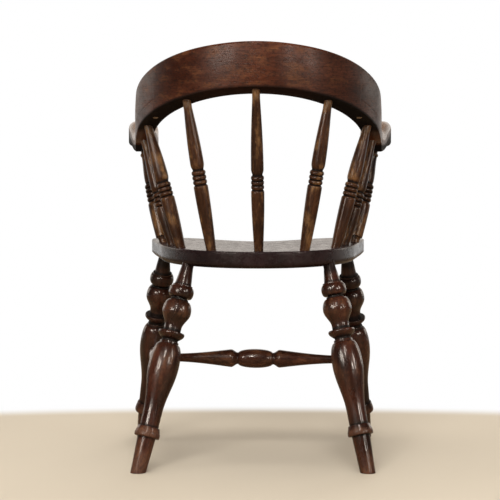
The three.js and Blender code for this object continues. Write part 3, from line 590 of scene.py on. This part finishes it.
def stretcherFit(form, start, end, socketRadius):
    # its (profile, middle, end), alike to both sides of the middle, and the drills for its two sockets, whose
    # mouths lie on the socket's radius
    middle = (start + end) / 2
    mouth = np.linalg.norm(end - middle) - socketRadius
    tenon = form["socketDepth"] - glueGap
    slope = mouth - mouthLength - form["beadLength"] / 2 - form["swellLength"]
    sizes = dict(form, tenonLength=tenon + mouthLength, slopeLength=slope)
    cuts, _ = cutList(stretcherCuts, sizes, -(mouth + tenon), mouth + tenon, "bead")
    profile = turnedProfile(-(mouth + tenon), form["endRadius"], cuts, form["soften"])
    drills = [drillMesh(form["endRadius"], sign * (mouth + form["socketDepth"]), sign * (mouth - drillRun),
                        middle, end) for sign in (-1, 1)]
    return (profile, middle, end), drills


legProfiles = {node: legProfile(node) for node in legPlaces}
legMeshes = {}
for node, (profile, length, _) in legProfiles.items():
    legMeshes[node] = turnedMesh(node, profile, *legAxis(node), leg["sides"], length)

crossEnds = []
sideMeshes = {}
sideFits = {}
for word in ("left", "right"):
    nodes = (f"leg_back_{word}", f"leg_front_{word}")
    ends = []
    for node in nodes:
        socket, foot = legAxis(node)
        ends.append(lerp(socket, foot, (socket[2] - stretcherHeights[word]) / socket[2]))
    crossEnds.append((ends[0] + ends[1]) / 2)
    sideFits[word], drills = stretcherFit(sideStretcher, *ends, leg["balusterRadius"])
    for node, tool in zip(nodes, drills):
        legMeshes[node] = cutAway(legMeshes[node], [tool])
    sideMeshes[word] = turnedMesh(f"stretcher {word}", *sideFits[word], sideStretcher["sides"])

crossFit, drills = stretcherFit(crossStretcher, *crossEnds, sideStretcher["beadRadius"])
for word, tool in zip(sideMeshes, drills):
    sideMeshes[word] = cutAway(sideMeshes[word], [tool])

for seed, (node, mesh) in enumerate(legMeshes.items(), seeds["legs"]):
    grainOf = turnedGrain(legProfiles[node][0], *legAxis(node), seed, legProfiles[node][2])
    addPiece("turned_" + node, node, mesh, "leg_wood", grainOf)
for seed, (word, mesh) in enumerate(sideMeshes.items(), seeds["sides"]):
    grainOf = turnedGrain(*sideFits[word], seed, sideStretcher["rubMarks"])
    addPiece(f"turned_stretcher_side_{word}", f"stretcher_side_{word}", mesh, "leg_wood", grainOf)
addPiece("turned_stretcher_cross", "stretcher_cross",
         turnedMesh("cross", *crossFit, crossStretcher["sides"]), "leg_wood",
         turnedGrain(*crossFit, seeds["cross"], crossStretcher["rubMarks"]))
print("legs and stretchers turned")


bow = dict(
    backY=232, halfWidth=239, shoulderY=-50, reachY=-226, noseLength=20, bend=9, flare=22, turn=-1,
    rise=321, fall=21.4, height=92.2, flankRise=2.8, thickness=36, topThickness=27, barrel=2, edgeRadius=8,
    arris=1.6, sweepStartY=-42, sweepEndY=-104, tipHeight=3, tailThickness=23, stepLength=18, armRise=193,
    handLift=8, handRise=22, handStartY=-116, handFullY=-198, widenY=0, handHalfWidth=30,
    handEdgeRadius=17, handUnderRadius=10, lapShare=0.6, lapGap=0.03, lapArris=0.05, lapSeam=0.0004,
    edgeFit=2.2, yokeSteps=110, armSteps=150, noseSteps=22, noseEnd=0.985, arrisSteps=3, edgeSteps=7,
    armEdgeSteps=8, outerSteps=16, innerSteps=10, armFaceShares=(0.1, 0.9, 6), sharpAngle=34,
)
# heights above the underside, lengths before the shoulder, angles round the bow, and amounts of wear and of
# painted shade
bowWear = dict(
    grainRadius=260, armStart=3, armFull=-8, armBand=11, handBand=27, underShadeTop=7, underShadeFull=0.4,
    bandFull=0.8, yokeUnderShade=-0.5, bandUnderShade=-0.8, polishStartY=50, polishTop=5, polishFull=1,
    shoulderPolishAndSheen=0.72, rubStartY=20, rubFullY=-150, rubFull=15, flankShade=(0.16, 0.28),
    flankAngles=(0.3, 0.75), flankEndY=(40, -30),
)
shoulderY = bow["shoulderY"]
bowDepth = bow["backY"] - shoulderY
armLength = shoulderY - bow["reachY"] + bow["noseLength"]


def yokePlane(y):
    # the yoke's underside falls towards the front in one plane
    return seat["top"] + bow["rise"] - (bow["backY"] - y) * math.tan(math.radians(bow["fall"]))


def bowUnderside(y):
    # the plane down to the shoulder, then a step down to the arm, which lifts a little at the hand
    lift = bow["handLift"] * blend(y, bow["handStartY"], bow["handFullY"])
    arm = seat["top"] + bow["armRise"] + lift
    share = blend(y, shoulderY, shoulderY - bow["stepLength"])
    return lerp(yokePlane(np.maximum(y, shoulderY)), arm, share)


def armTopAt(y):
    # the tail's thickness above the plane, then level as far as the rise of the hand-hold
    level = yokePlane(shoulderY) + bow["tailThickness"]
    return np.maximum(yokePlane(y) + bow["tailThickness"],
                      level + bow["handRise"] * blend(y, bow["handStartY"], bow["handFullY"]))


def yokeTopAt(y):
    # parallel to the underside with a little more round the flanks, then swept down onto the arm
    back = np.clip((y - shoulderY) / bowDepth, 0, 1)
    level = yokePlane(y) + bow["height"] + bow["flankRise"] * 4 * back * (1 - back)
    tip = armTopAt(y) + glueGap + bow["tipHeight"]
    return lerp(level, tip, blend(y, bow["sweepStartY"], bow["sweepEndY"]))


def armShareAt(y):
    return 1 + (shoulderY - y) / armLength


def bowPlaces(shares):
    # middle line and outward direction: a quarter ellipse up to share 1, then a cubic sweep to the nose at 2;
    # negative shares are on the sitter's right
    side, along = np.where(shares < 0, -1.0, 1.0), np.abs(shares)
    turn = np.minimum(along, 1) * np.pi / 2
    x, y = bow["halfWidth"] * np.sin(turn), shoulderY + bowDepth * np.cos(turn)
    outX, outY = np.sin(turn) * bowDepth, np.cos(turn) * bow["halfWidth"]
    t = np.clip(along - 1, 0, 1)
    pullsX = [0, 0, bow["bend"], bow["flare"]]
    weights = [(1 - t) ** 3, 3 * t * (1 - t) ** 2, 3 * t ** 2 * (1 - t), t ** 3]
    slopes = [3 * (1 - t) ** 2, 6 * t * (1 - t), 3 * t ** 2]
    sweepX = bow["halfWidth"] + sum(w * p for w, p in zip(weights, pullsX))
    tangentX = sum(s * (b - a) for s, a, b in zip(slopes, pullsX, pullsX[1:]))
    arm = along > 1
    x, y = np.where(arm, sweepX, x), np.where(arm, shoulderY - armLength * t, y)
    outX, outY = np.where(arm, armLength, outX), np.where(arm, tangentX, outY)
    length = np.hypot(outX, outY)
    return x * side, y, outX / length * side, outY / length


def bowPoint(share, heightAt):
    # one place on the middle line, at a height that depends on its Y
    x, y, _, _ = (float(v[0]) for v in bowPlaces(np.array([share], float)))
    return np.array([x, y, float(heightAt(y))])


def posed(points):
    # the bow stands slightly askew
    x, y = turnFlat(points[..., 0], points[..., 1], bow["turn"])
    return np.stack([x, y, points[..., 2]], axis=-1)


def cornerMarks(quarter, out, radius, steps, up):
    # a rounded corner as distances outwards, rises and the share of the height; quarters go 0 top outer,
    # 1 top inner, 2 bottom inner, 3
    middle = (quarter + 0.5) * np.pi / 2
    turn = (quarter + np.linspace(0, 1, steps + 1)) * np.pi / 2
    outs = (out - np.sign(np.cos(middle)) * radius)[:, None] + radius[:, None] * np.cos(turn)
    rises = (-np.sign(np.sin(middle)) * radius)[:, None] + radius[:, None] * np.sin(turn)
    return outs, rises, np.full(outs.shape, float(up))


def faceMarks(outs, ups):
    # a flat stretch between two corners
    shape = (len(outs), ups.shape[1])
    return np.broadcast_to(outs, shape), np.zeros(shape), np.broadcast_to(ups, shape)


def bandGrid(shares, sections, low, high):
    # each section is (distances outwards, rises, share of the way from low to high) for every ring; the outer
    # face swells by barrel * sin(pi * share of the height), which dies out where the yoke comes down
    x, y, outX, outY = (v[:, None] for v in bowPlaces(shares))
    out, rise, up = (np.concatenate(marks, axis=1) for marks in zip(*sections))
    px, py = x + outX * out, y + outY * out
    z = lerp(low(py), high(py), up) + rise
    floor = yokePlane(np.maximum(y, shoulderY))
    height = np.maximum(yokeTopAt(y) - floor, 1)
    fullness = np.clip(height / bow["height"], 0, 1) * blend(y, bow["sweepEndY"], bow["sweepStartY"])
    swell = bow["barrel"] * fullness * np.sin(np.pi * np.clip((z - floor) / height, 0, 1))
    swell = swell * blend(out, 0, bow["thickness"] / 2)
    return np.stack([px + outX * swell, py + outY * swell, z], axis=-1)


def yokeGrid():
    # from one tip round the back to the other; past the lap's start its underside lies on the arms' tails
    lapStart = bow["lapShare"] - bow["lapGap"] / (np.pi / 4 * (bow["halfWidth"] + bowDepth))
    half = np.linspace(0, lapStart, bow["yokeSteps"])[1:]
    lapped = np.linspace(lapStart + bow["lapSeam"], armShareAt(bow["sweepEndY"]), bow["yokeSteps"])
    shares = np.concatenate([-lapped[::-1], -half[::-1], [0], half, lapped])
    isLapped = np.abs(shares) > lapStart + bow["lapSeam"] / 2
    y = bowPlaces(shares)[1]
    plane = lambda v: yokePlane(np.maximum(v, shoulderY))
    low = lambda v: np.where(isLapped[:, None], armTopAt(v) + bow["lapGap"], plane(v))
    outer = np.full(len(shares), bow["thickness"] / 2)
    fullness = np.clip((yokeTopAt(y) - plane(y)) / bow["height"], 0, 1)
    topInner = outer - (bow["thickness"] - bow["topThickness"]) * fullness
    edge = lerp(bow["arris"], bow["edgeRadius"], fullness)
    edge = np.minimum(edge, (yokeTopAt(y) - low(y[:, None])[:, 0]) / bow["edgeFit"])
    arris = np.where(isLapped, bow["lapArris"], bow["arris"])
    downs = np.linspace(1, 0, bow["innerSteps"])[None, 1:-1]
    return bandGrid(shares, [
        cornerMarks(2, -outer, arris, bow["arrisSteps"], 0),
        cornerMarks(3, outer, arris, bow["arrisSteps"], 0),
        faceMarks(outer[:, None], np.linspace(0, 1, bow["outerSteps"])[None, 1:-1]),
        cornerMarks(0, outer, edge, bow["edgeSteps"], 1),
        cornerMarks(1, -topInner, edge, bow["edgeSteps"], 1),
        faceMarks(-lerp(outer[:, None], topInner[:, None], downs), downs),
    ], low, yokeTopAt)


def armGrid(side):
    # from the tail under the yoke to the nose, where the section shrinks by a quarter ellipse
    noseTurn = np.linspace(0, bow["noseEnd"], bow["noseSteps"])[1:] * np.pi / 2
    nose = armShareAt(bow["reachY"] - bow["noseLength"] * np.sin(noseTurn))
    body = np.linspace(bow["lapShare"], armShareAt(bow["reachY"]), bow["armSteps"])
    shares = np.concatenate([body, nose]) * side
    y = bowPlaces(shares)[1]
    past = np.maximum(0, (bow["reachY"] - y) / bow["noseLength"])
    size = np.sqrt(1 - np.minimum(past, 1) ** 2)
    wide = blend(y, bow["widenY"], bow["handFullY"])
    half = lerp(bow["thickness"] / 2, bow["handHalfWidth"], wide) * size
    hold = blend(y, shoulderY, bow["handFullY"])
    edge = lerp(bow["lapArris"], bow["handEdgeRadius"], hold) * size
    under = lerp(bow["arris"], bow["handUnderRadius"], hold) * size
    middle = lambda v: (bowUnderside(v) + armTopAt(v)) / 2
    low = lambda v: lerp(middle(v), bowUnderside(v), size[:, None])
    high = lambda v: lerp(middle(v), armTopAt(v), size[:, None])
    ups = lerp(np.linspace(*bow["armFaceShares"]), 0.5, hold[:, None])
    steps = bow["armEdgeSteps"]
    return bandGrid(shares, [
        cornerMarks(2, -half, under, steps, 0), cornerMarks(3, half, under, steps, 0),
        faceMarks(half[:, None], ups),
        cornerMarks(0, half, edge, steps, 1), cornerMarks(1, -half, edge, steps, 1),
    ], low, high)


def bowGrain(points):
    # up, outwards and along an ellipse. Painted shade, partly old grime, lies underneath and in a band along
    # the arms' lower edge, and painted shade darkens the flanks, the sitter's right more; the shoulders'
    # underside is polished and partly painted lighter as a sheen, and the arms are rubbed towards the
    # hand-holds
    look = bowWear
    x, y = turnFlat(points[:, 0], points[:, 1], -bow["turn"])
    forward = np.maximum(y - shoulderY, 0) / bowDepth
    angle = np.arctan2(x / bow["halfWidth"], forward)
    reach = np.hypot(x / bow["halfWidth"], forward)
    along = angle * look["grainRadius"] - np.sign(x) * np.minimum(y - shoulderY, 0)
    above = points[:, 2] - bowUnderside(y)
    onArm = blend(y, shoulderY + look["armStart"], shoulderY + look["armFull"])
    band = lerp(look["armBand"], look["handBand"], blend(y, bow["handStartY"], bow["reachY"])) * onArm
    # painted shade along the underside and in the arms' lower band, partly old grime
    grimeAndShade = blend(above, look["underShadeTop"] + band, look["underShadeFull"] + band * look["bandFull"])
    grimeAndShade = grimeAndShade * lerp(look["yokeUnderShade"], look["bandUnderShade"], onArm)
    # a lighter rubbed tone under the shoulders, partly real polish and partly a painted sheen
    polishAndSheen = blend(y, look["polishStartY"], shoulderY) * (1 - onArm)
    polishAndSheen = polishAndSheen * blend(above, look["polishTop"], look["polishFull"])
    rubbed = blend(y, look["rubStartY"], look["rubFullY"])
    rubbed = rubbed * blend(above, look["underShadeTop"] + band, look["rubFull"] + band)
    # painted shade over the flanks, darker on the sitter's right
    paintedShade = np.where(x > 0, *look["flankShade"]) * blend(np.abs(angle), *look["flankAngles"])
    paintedShade = paintedShade * (1 - blend(y, *look["flankEndY"])) * (1 - rubbed) * (1 - polishAndSheen)
    wearAndShade = lerp(grimeAndShade, look["shoulderPolishAndSheen"], polishAndSheen) + rubbed - paintedShade
    places = np.column_stack([points[:, 2], reach * look["grainRadius"], along])
    return places + placeInTree(seeds["bow"]), wearAndShade


# seat: where it stands; share: where it meets the bow, minus on the sitter's right; ringHeight: above the
# seat; girth: its share of the radii; rub: of its belly, or below 0 its grime
uprightPlaces = dict(
    spindle_back_centre=dict(seat=(-1.5, 172), share=0, ringHeight=138, girth=1.05, rub=0.12),
    spindle_back_left=dict(seat=(94, 161), share=0.396, ringHeight=147, girth=1.14, rub=0.0),
    spindle_back_right=dict(seat=(-94, 161), share=-0.409, ringHeight=147, girth=1.16, rub=0.16),
    spindle_corner_left=dict(seat=(159, 74), share=0.785, ringHeight=118, girth=1.15, rub=-0.15),
    spindle_corner_right=dict(seat=(-160, 74), share=-0.783, ringHeight=118, girth=1.15, rub=-0.15),
    spindle_side_left=dict(seat=(178, 5), share=0.97, ringHeight=94, girth=1.1, rub=-0.05),
    spindle_side_right=dict(seat=(-180, 5), share=-0.975, ringHeight=94, girth=1.1, rub=-0.05),
    arm_post_left=dict(seat=(201, -88), share=1.5, ringHeight=104, girth=1, rub=0.4),
    arm_post_right=dict(seat=(-206, -88), share=-1.5, ringHeight=104, girth=1, rub=0.4),
)
spindleForm = dict(
    footRadius=8.9, bellyRadius=12.7, bellyRoundLength=5, ringCount=3, ringLength=9.4, ringRadius=12.5,
    grooveRadius=9.7, neckLength=2.5, shoulderLength=11, shaftRadius=12.1, topLength=16, topRadius=7.5,
    sides=48, footCuts=[], topCuts=["fall shaft top"],
)
postForm = dict(
    footRadius=9.4, footLength=12, footConeRadius=11.2, collarRadius=14.2, bellyRadius=17.2,
    bellyRoundLength=8, ringCount=4, ringLength=9.6, ringRadius=17, grooveRadius=13.6, neckLength=2.5,
    shoulderLength=9, shaftRadius=14.6, topLength=9, topRadius=10.6, topRingRadius=13.2, topRingLength=6,
    topShaftRadius=11.4, sides=56, footCuts=["taper footRest footCone", "taper - collar"],
    topCuts=["ease shaft topShaft", "bead topRing topRing", "taper - top"],
)
uprightRub = dict(headDrop=4, headHalf=21, head=0.6, ringMargin=2, rings=-0.3, bellyMargin=10)
yokeSocketDepth, tailSocketDepth = 20, 14


def uprightAxis(node):
    foot = np.array([*uprightPlaces[node]["seat"], seat["top"]], float)
    return foot, posed(bowPoint(uprightPlaces[node]["share"], bowUnderside))


def uprightSizes(node):
    # every radius times this upright's girth
    form = postForm if node.startswith("arm_post") else spindleForm
    girth = uprightPlaces[node]["girth"]
    return {key: value * girth if key.endswith("Radius") else value for key, value in form.items()}


def uprightProfile(node, socketDepth):
    # from the tenon in the seat to the one in the bow; the shaft is as long as the other cuts leave it
    form, place, (foot, head) = uprightSizes(node), uprightPlaces[node], uprightAxis(node)
    length = np.linalg.norm(head - foot)
    ringHalf = form["ringCount"] * form["ringLength"] / 2
    belly = place["ringHeight"] * length / (head[2] - foot[2]) - ringHalf
    start = glueGap - seat["socketDepth"]
    footLength = form.get("footLength", mouthLength)
    sizes = dict(form, tenonLength=mouthLength - start, footRestLength=footLength - mouthLength,
                 bellyLength=belly - form["bellyRoundLength"] - footLength,
                 topTenonLength=form["topLength"] + socketDepth - glueGap)
    order = ["taper tenon foot", *form["footCuts"], "sweep belly belly", "fall bellyRound groove",
             "taper - groove", *["bead ring ring"] * form["ringCount"], "taper neck groove",
             "sweep shoulder shaft", *form["topCuts"], "taper topTenon top"]
    cuts, _ = cutList(order, sizes, start, length + socketDepth - glueGap, "shaft")
    rub = uprightRub
    # bare wood shows where it enters the bow, and old polish has gathered between the rings
    marks = [(length - rub["headDrop"], rub["headHalf"], rub["head"]),
             (belly + ringHalf, ringHalf + rub["ringMargin"], rub["rings"]),
             (belly / 2, belly / 2 - rub["bellyMargin"], place["rub"])]
    return turnedProfile(start, form["footRadius"], cuts, soften=0.35), length, marks


plug = dict(share=0.669, radius=6, thickness=5, recess=0.8, soften=0.2, sides=40, screwRadius=2.4,
            screwLength=44, headHeight=3)


def plugAxis(side):
    # square to the plane of the yoke's underside
    start = bowPoint(plug["share"] * side, yokePlane)
    fall = math.radians(bow["fall"])
    upwards = np.array([0, -math.sin(fall), math.cos(fall)]) * plug["screwLength"]
    return posed(start), posed(start + upwards)


seatTools, yokeTools, armTools = [], [], dict(left=[], right=[])
for seed, node in enumerate(uprightPlaces, seeds["uprights"]):
    depth = tailSocketDepth if node.startswith(("spindle_corner", "spindle_side")) else yokeSocketDepth
    profile, length, marks = uprightProfile(node, depth)
    axis, form = uprightAxis(node), uprightSizes(node)
    mesh = turnedMesh(node, profile, *axis, form["sides"])
    addPiece("turned_" + node, node, mesh, "spindle_wood", turnedGrain(profile, *axis, seed, marks))
    seatTools.append(drillMesh(form["footRadius"], -seat["socketDepth"], drillRun, *axis))
    tools = yokeTools if node.startswith("spindle_back") else armTools[node.rsplit("_", 1)[1]]
    tools.append(drillMesh(form["topRadius"], length - drillRun, length + depth, *axis))
print("spindles and posts turned")

for node in legPlaces:
    seatTools.append(drillMesh(leg["tenonRadius"], -leg["socketDepth"], drillRun, *legAxis(node)))


def seatGrain(points):
    # the plank's grain runs from front to back; the dish is rubbed and the lower edge is darker
    height = points[:, 2]
    bottom = seat["top"] - seat["thickness"]
    rubbed = np.where(height > seat["top"] - seat["rubbedDepth"], seat["rubbed"], 0.0)
    grimeAndShade = blend(height, bottom + seat["darkerHeight"], bottom) * seat["grimeAndShade"]
    return points[:, [0, 2, 1]] + [seat["grainShift"], 0, 0], rubbed + grimeAndShade


plank = cutAway(seatMesh(), seatTools)
addPiece("polished_seat", "seat", plank, "seat_wood", seatGrain, seat["sharpAngle"])
print("seat cut")

for word, side in (("left", 1), ("right", -1)):
    start, towards = plugAxis(side)
    headEnd = plug["recess"] + plug["thickness"] + glueGap + plug["headHeight"] + glueGap
    shank = drillMesh(plug["screwRadius"], -drillRun, headEnd + plug["screwLength"], start, towards)
    armTools[word] += [drillMesh(plug["radius"], -drillRun, headEnd, start, towards), shank]
    yokeTools.append(shank.copy())
    arm = cutAway(gridMesh(f"arm {word}", posed(armGrid(side))), armTools[word])
    addPiece(f"shaped_arm_{word}", f"arm_{word}", arm, "bow_wood", bowGrain, bow["sharpAngle"])
    profile = turnedProfile(plug["recess"], plug["radius"], [("taper", plug["thickness"], plug["radius"])],
                            plug["soften"])
    addPiece(f"end_grain_plug_{word}", f"screw_plug_{word}",
             turnedMesh("plug", profile, start, towards, plug["sides"]), "plug_wood",
             turnedGrain(profile, start, towards, seeds["plugs"] + side))
yoke = cutAway(gridMesh("yoke", posed(yokeGrid())), yokeTools)
addPiece("bowed_yoke", "back_yoke", yoke, "bow_wood", bowGrain, bow["sharpAngle"])
print("bow shaped")

for word in ("left", "right"):
    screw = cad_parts[f"arm_screw_{word}"]
    for place in screw.material_slots:
        place.material = finishes["screw_steel"]


# metres from here on; the fades are distances from the floor's centre, and the wall lies towards -Y
studio = dict(
    floorColour="d0c3ae", floorBounce="8a7256", floorRadius=9.0, floorHub=0.05, floorRings=24, floorSides=96,
    floorRoughness=0.7, floorSpecular=0.2, floorCentre=(0.0, 2.6), floorFade=(3.17, 3.31),
    mirrorFade=(6.0, 8.0), wallShine=1.0, wallEdges=(-0.96, -0.62), roomShine=0.03, wallLight=0.6,
    roomLight=0.22, lightEdges=(-0.6, 0.5), windowTint=(1.0, 0.9, 0.8), wallTint=(1.0, 0.92, 0.84),
    lampAim=(0, 0, 0.45), cameraPlace=(0.0045, 4.4214, 0.747), cameraAim=(0.0205, 0.0018, 0.4312),
    lens=152.6, sensorWidth=36,
)
# the soft lamps light the chair, and the others are windows that only its reflections show
lamps = dict(
    key=dict(place=(0.4, 3.4, 3.0), size=(2.2, 1.4), power=130, soft=True),
    leftPane=dict(place=(2.25, 2.45, 1.5), size=(0.3, 1.0), power=29),
    leftPaneNear=dict(place=(1.65, 2.95, 1.5), size=(0.2, 0.8), power=25),
    rightPane=dict(place=(-2.5, 1.8, 1.4), size=(0.3, 0.9), power=20),
    rightPaneNear=dict(place=(-1.75, 2.7, 1.15), size=(0.2, 0.45), power=14),
    skylight=dict(place=(0.37, 3.0, 2.1), size=(0.2, 0.2), power=17),
    highPane=dict(place=(0.3, 2.85, 2.75), size=(0.25, 0.35), power=18),
    leftDoor=dict(place=(3.0, -2.2, 1.2), size=(0.8, 1.4), power=10),
    rightDoor=dict(place=(-3.0, -2.2, 1.2), size=(0.8, 1.4), power=12),
    ceiling=dict(place=(0.2, 0.3, 3.2), size=(1.6, 1.2), power=34, soft=True),
    front=dict(place=(-0.6, -3.2, 2.4), size=(2.0, 1.4), power=42, soft=True),
)


def floorMesh():
    # flat rings of growing radius round the chair
    rings, sides = studio["floorRings"], studio["floorSides"]
    angle = np.arange(sides) * 2 * np.pi / sides
    radius = np.geomspace(studio["floorHub"], studio["floorRadius"], rings)
    x, y = radius[:, None] * np.cos(angle), radius[:, None] * np.sin(angle)
    points = np.concatenate([np.stack([x, y, np.zeros_like(x)], axis=-1).reshape(-1, 3), [[0, 0, 0]]])
    quads, fans = gridFaces(rings, sides)
    mesh = bpy.data.meshes.new("floor")
    mesh.from_pydata(points.tolist(), [], quads[:, ::-1].tolist() + fans[:sides, ::-1].tolist())
    return mesh


def rayKinds(tree):
    # 1 on rays from the camera, and 1 on rays that were mirrored or let through
    path = addNode(tree, "LightPath")
    mirrored = math2("MAXIMUM", path.outputs["Is Glossy Ray"], path.outputs["Is Transmission Ray"])
    return path.outputs["Is Camera Ray"], mirrored


# the floor runs out into white, for the camera near the chair and for reflections farther off
floorFinish, tree, shader = newFinish("floor")
seen, mirrored = rayKinds(tree)
floorTint = mixColour(seen, colour(studio["floorBounce"]), colour(studio["floorColour"]))
setInputs(shader, {"Base Color": floorTint, "Roughness": studio["floorRoughness"],
                   "Specular IOR Level": studio["floorSpecular"]})
place = addNode(tree, "TexCoord").outputs["Object"]
offset = addNode(tree, "VectorMath", dict(operation="SUBTRACT"), i0=place,
                 i1=(*studio["floorCentre"], 0)).outputs[0]
distance = addNode(tree, "VectorMath", dict(operation="LENGTH"), i0=offset).outputs["Value"]
seenWhite = times(ramp(distance, *studio["floorFade"]), seen)
mirrorWhite = times(ramp(distance, *studio["mirrorFade"]), mirrored)
share = plus(seenWhite, mirrorWhite)
white = addNode(tree, "Emission", Strength=1.0)
mixed = addNode(tree, "MixShader", i0=share, i1=shader.outputs[0], i2=white.outputs[0])
setInputs(tree.nodes["Material Output"], dict(Surface=mixed.outputs[0]))
floor = addObject("floor", floorMesh())
floor.data.materials.append(floorFinish)

# white to the camera; reflections see a bright wall in a dim room, and soft light comes from the wall
world = bpy.data.worlds.new("studio")
world.use_nodes = True
bpy.context.scene.world = world
tree = world.node_tree
direction = addNode(tree, "TexCoord").outputs["Generated"]
towardsWall = addNode(tree, "SeparateXYZ", i0=direction).outputs["Y"]
seen, mirrored = rayKinds(tree)
lit = ramp(towardsWall, *studio["lightEdges"], studio["wallLight"], studio["roomLight"])
shine = ramp(towardsWall, *studio["wallEdges"], studio["wallShine"], studio["roomShine"])
strength = addNode(tree, "Mix", dict(data_type="FLOAT"), i0=mirrored, i2=lit, i3=shine).outputs[0]
strength = addNode(tree, "Mix", dict(data_type="FLOAT"), i0=seen, i2=strength, i3=1.0).outputs[0]
tint = mixColour(seen, (*studio["wallTint"], 1), (1, 1, 1, 1))
setInputs(tree.nodes["Background"], dict(Color=tint, Strength=strength))


def aimAt(thing, target):
    # turned to look from its own place to the target, with the picture upright
    thing.rotation_euler = (Vector(target) - thing.location).to_track_quat("-Z", "Y").to_euler()


for name, values in lamps.items():
    light = bpy.data.lights.new(name, "AREA")
    light.shape = "RECTANGLE"
    light.size, light.size_y = values["size"]
    light.energy = values["power"]
    soft = values.get("soft", False)
    light.color = (1, 1, 1) if soft else studio["windowTint"]
    lamp = addObject(name, light)
    lamp.location = values["place"]
    aimAt(lamp, studio["lampAim"])
    lamp.visible_glossy, lamp.visible_diffuse = not soft, soft

camera = bpy.data.cameras.new("camera")
camera.lens = studio["lens"]
camera.sensor_width = studio["sensorWidth"]
viewer = addObject("camera", camera)
viewer.location = studio["cameraPlace"]
aimAt(viewer, studio["cameraAim"])
bpy.context.scene.camera = viewer
bpy.context.scene.view_settings.view_transform = "Standard"
print("studio set")
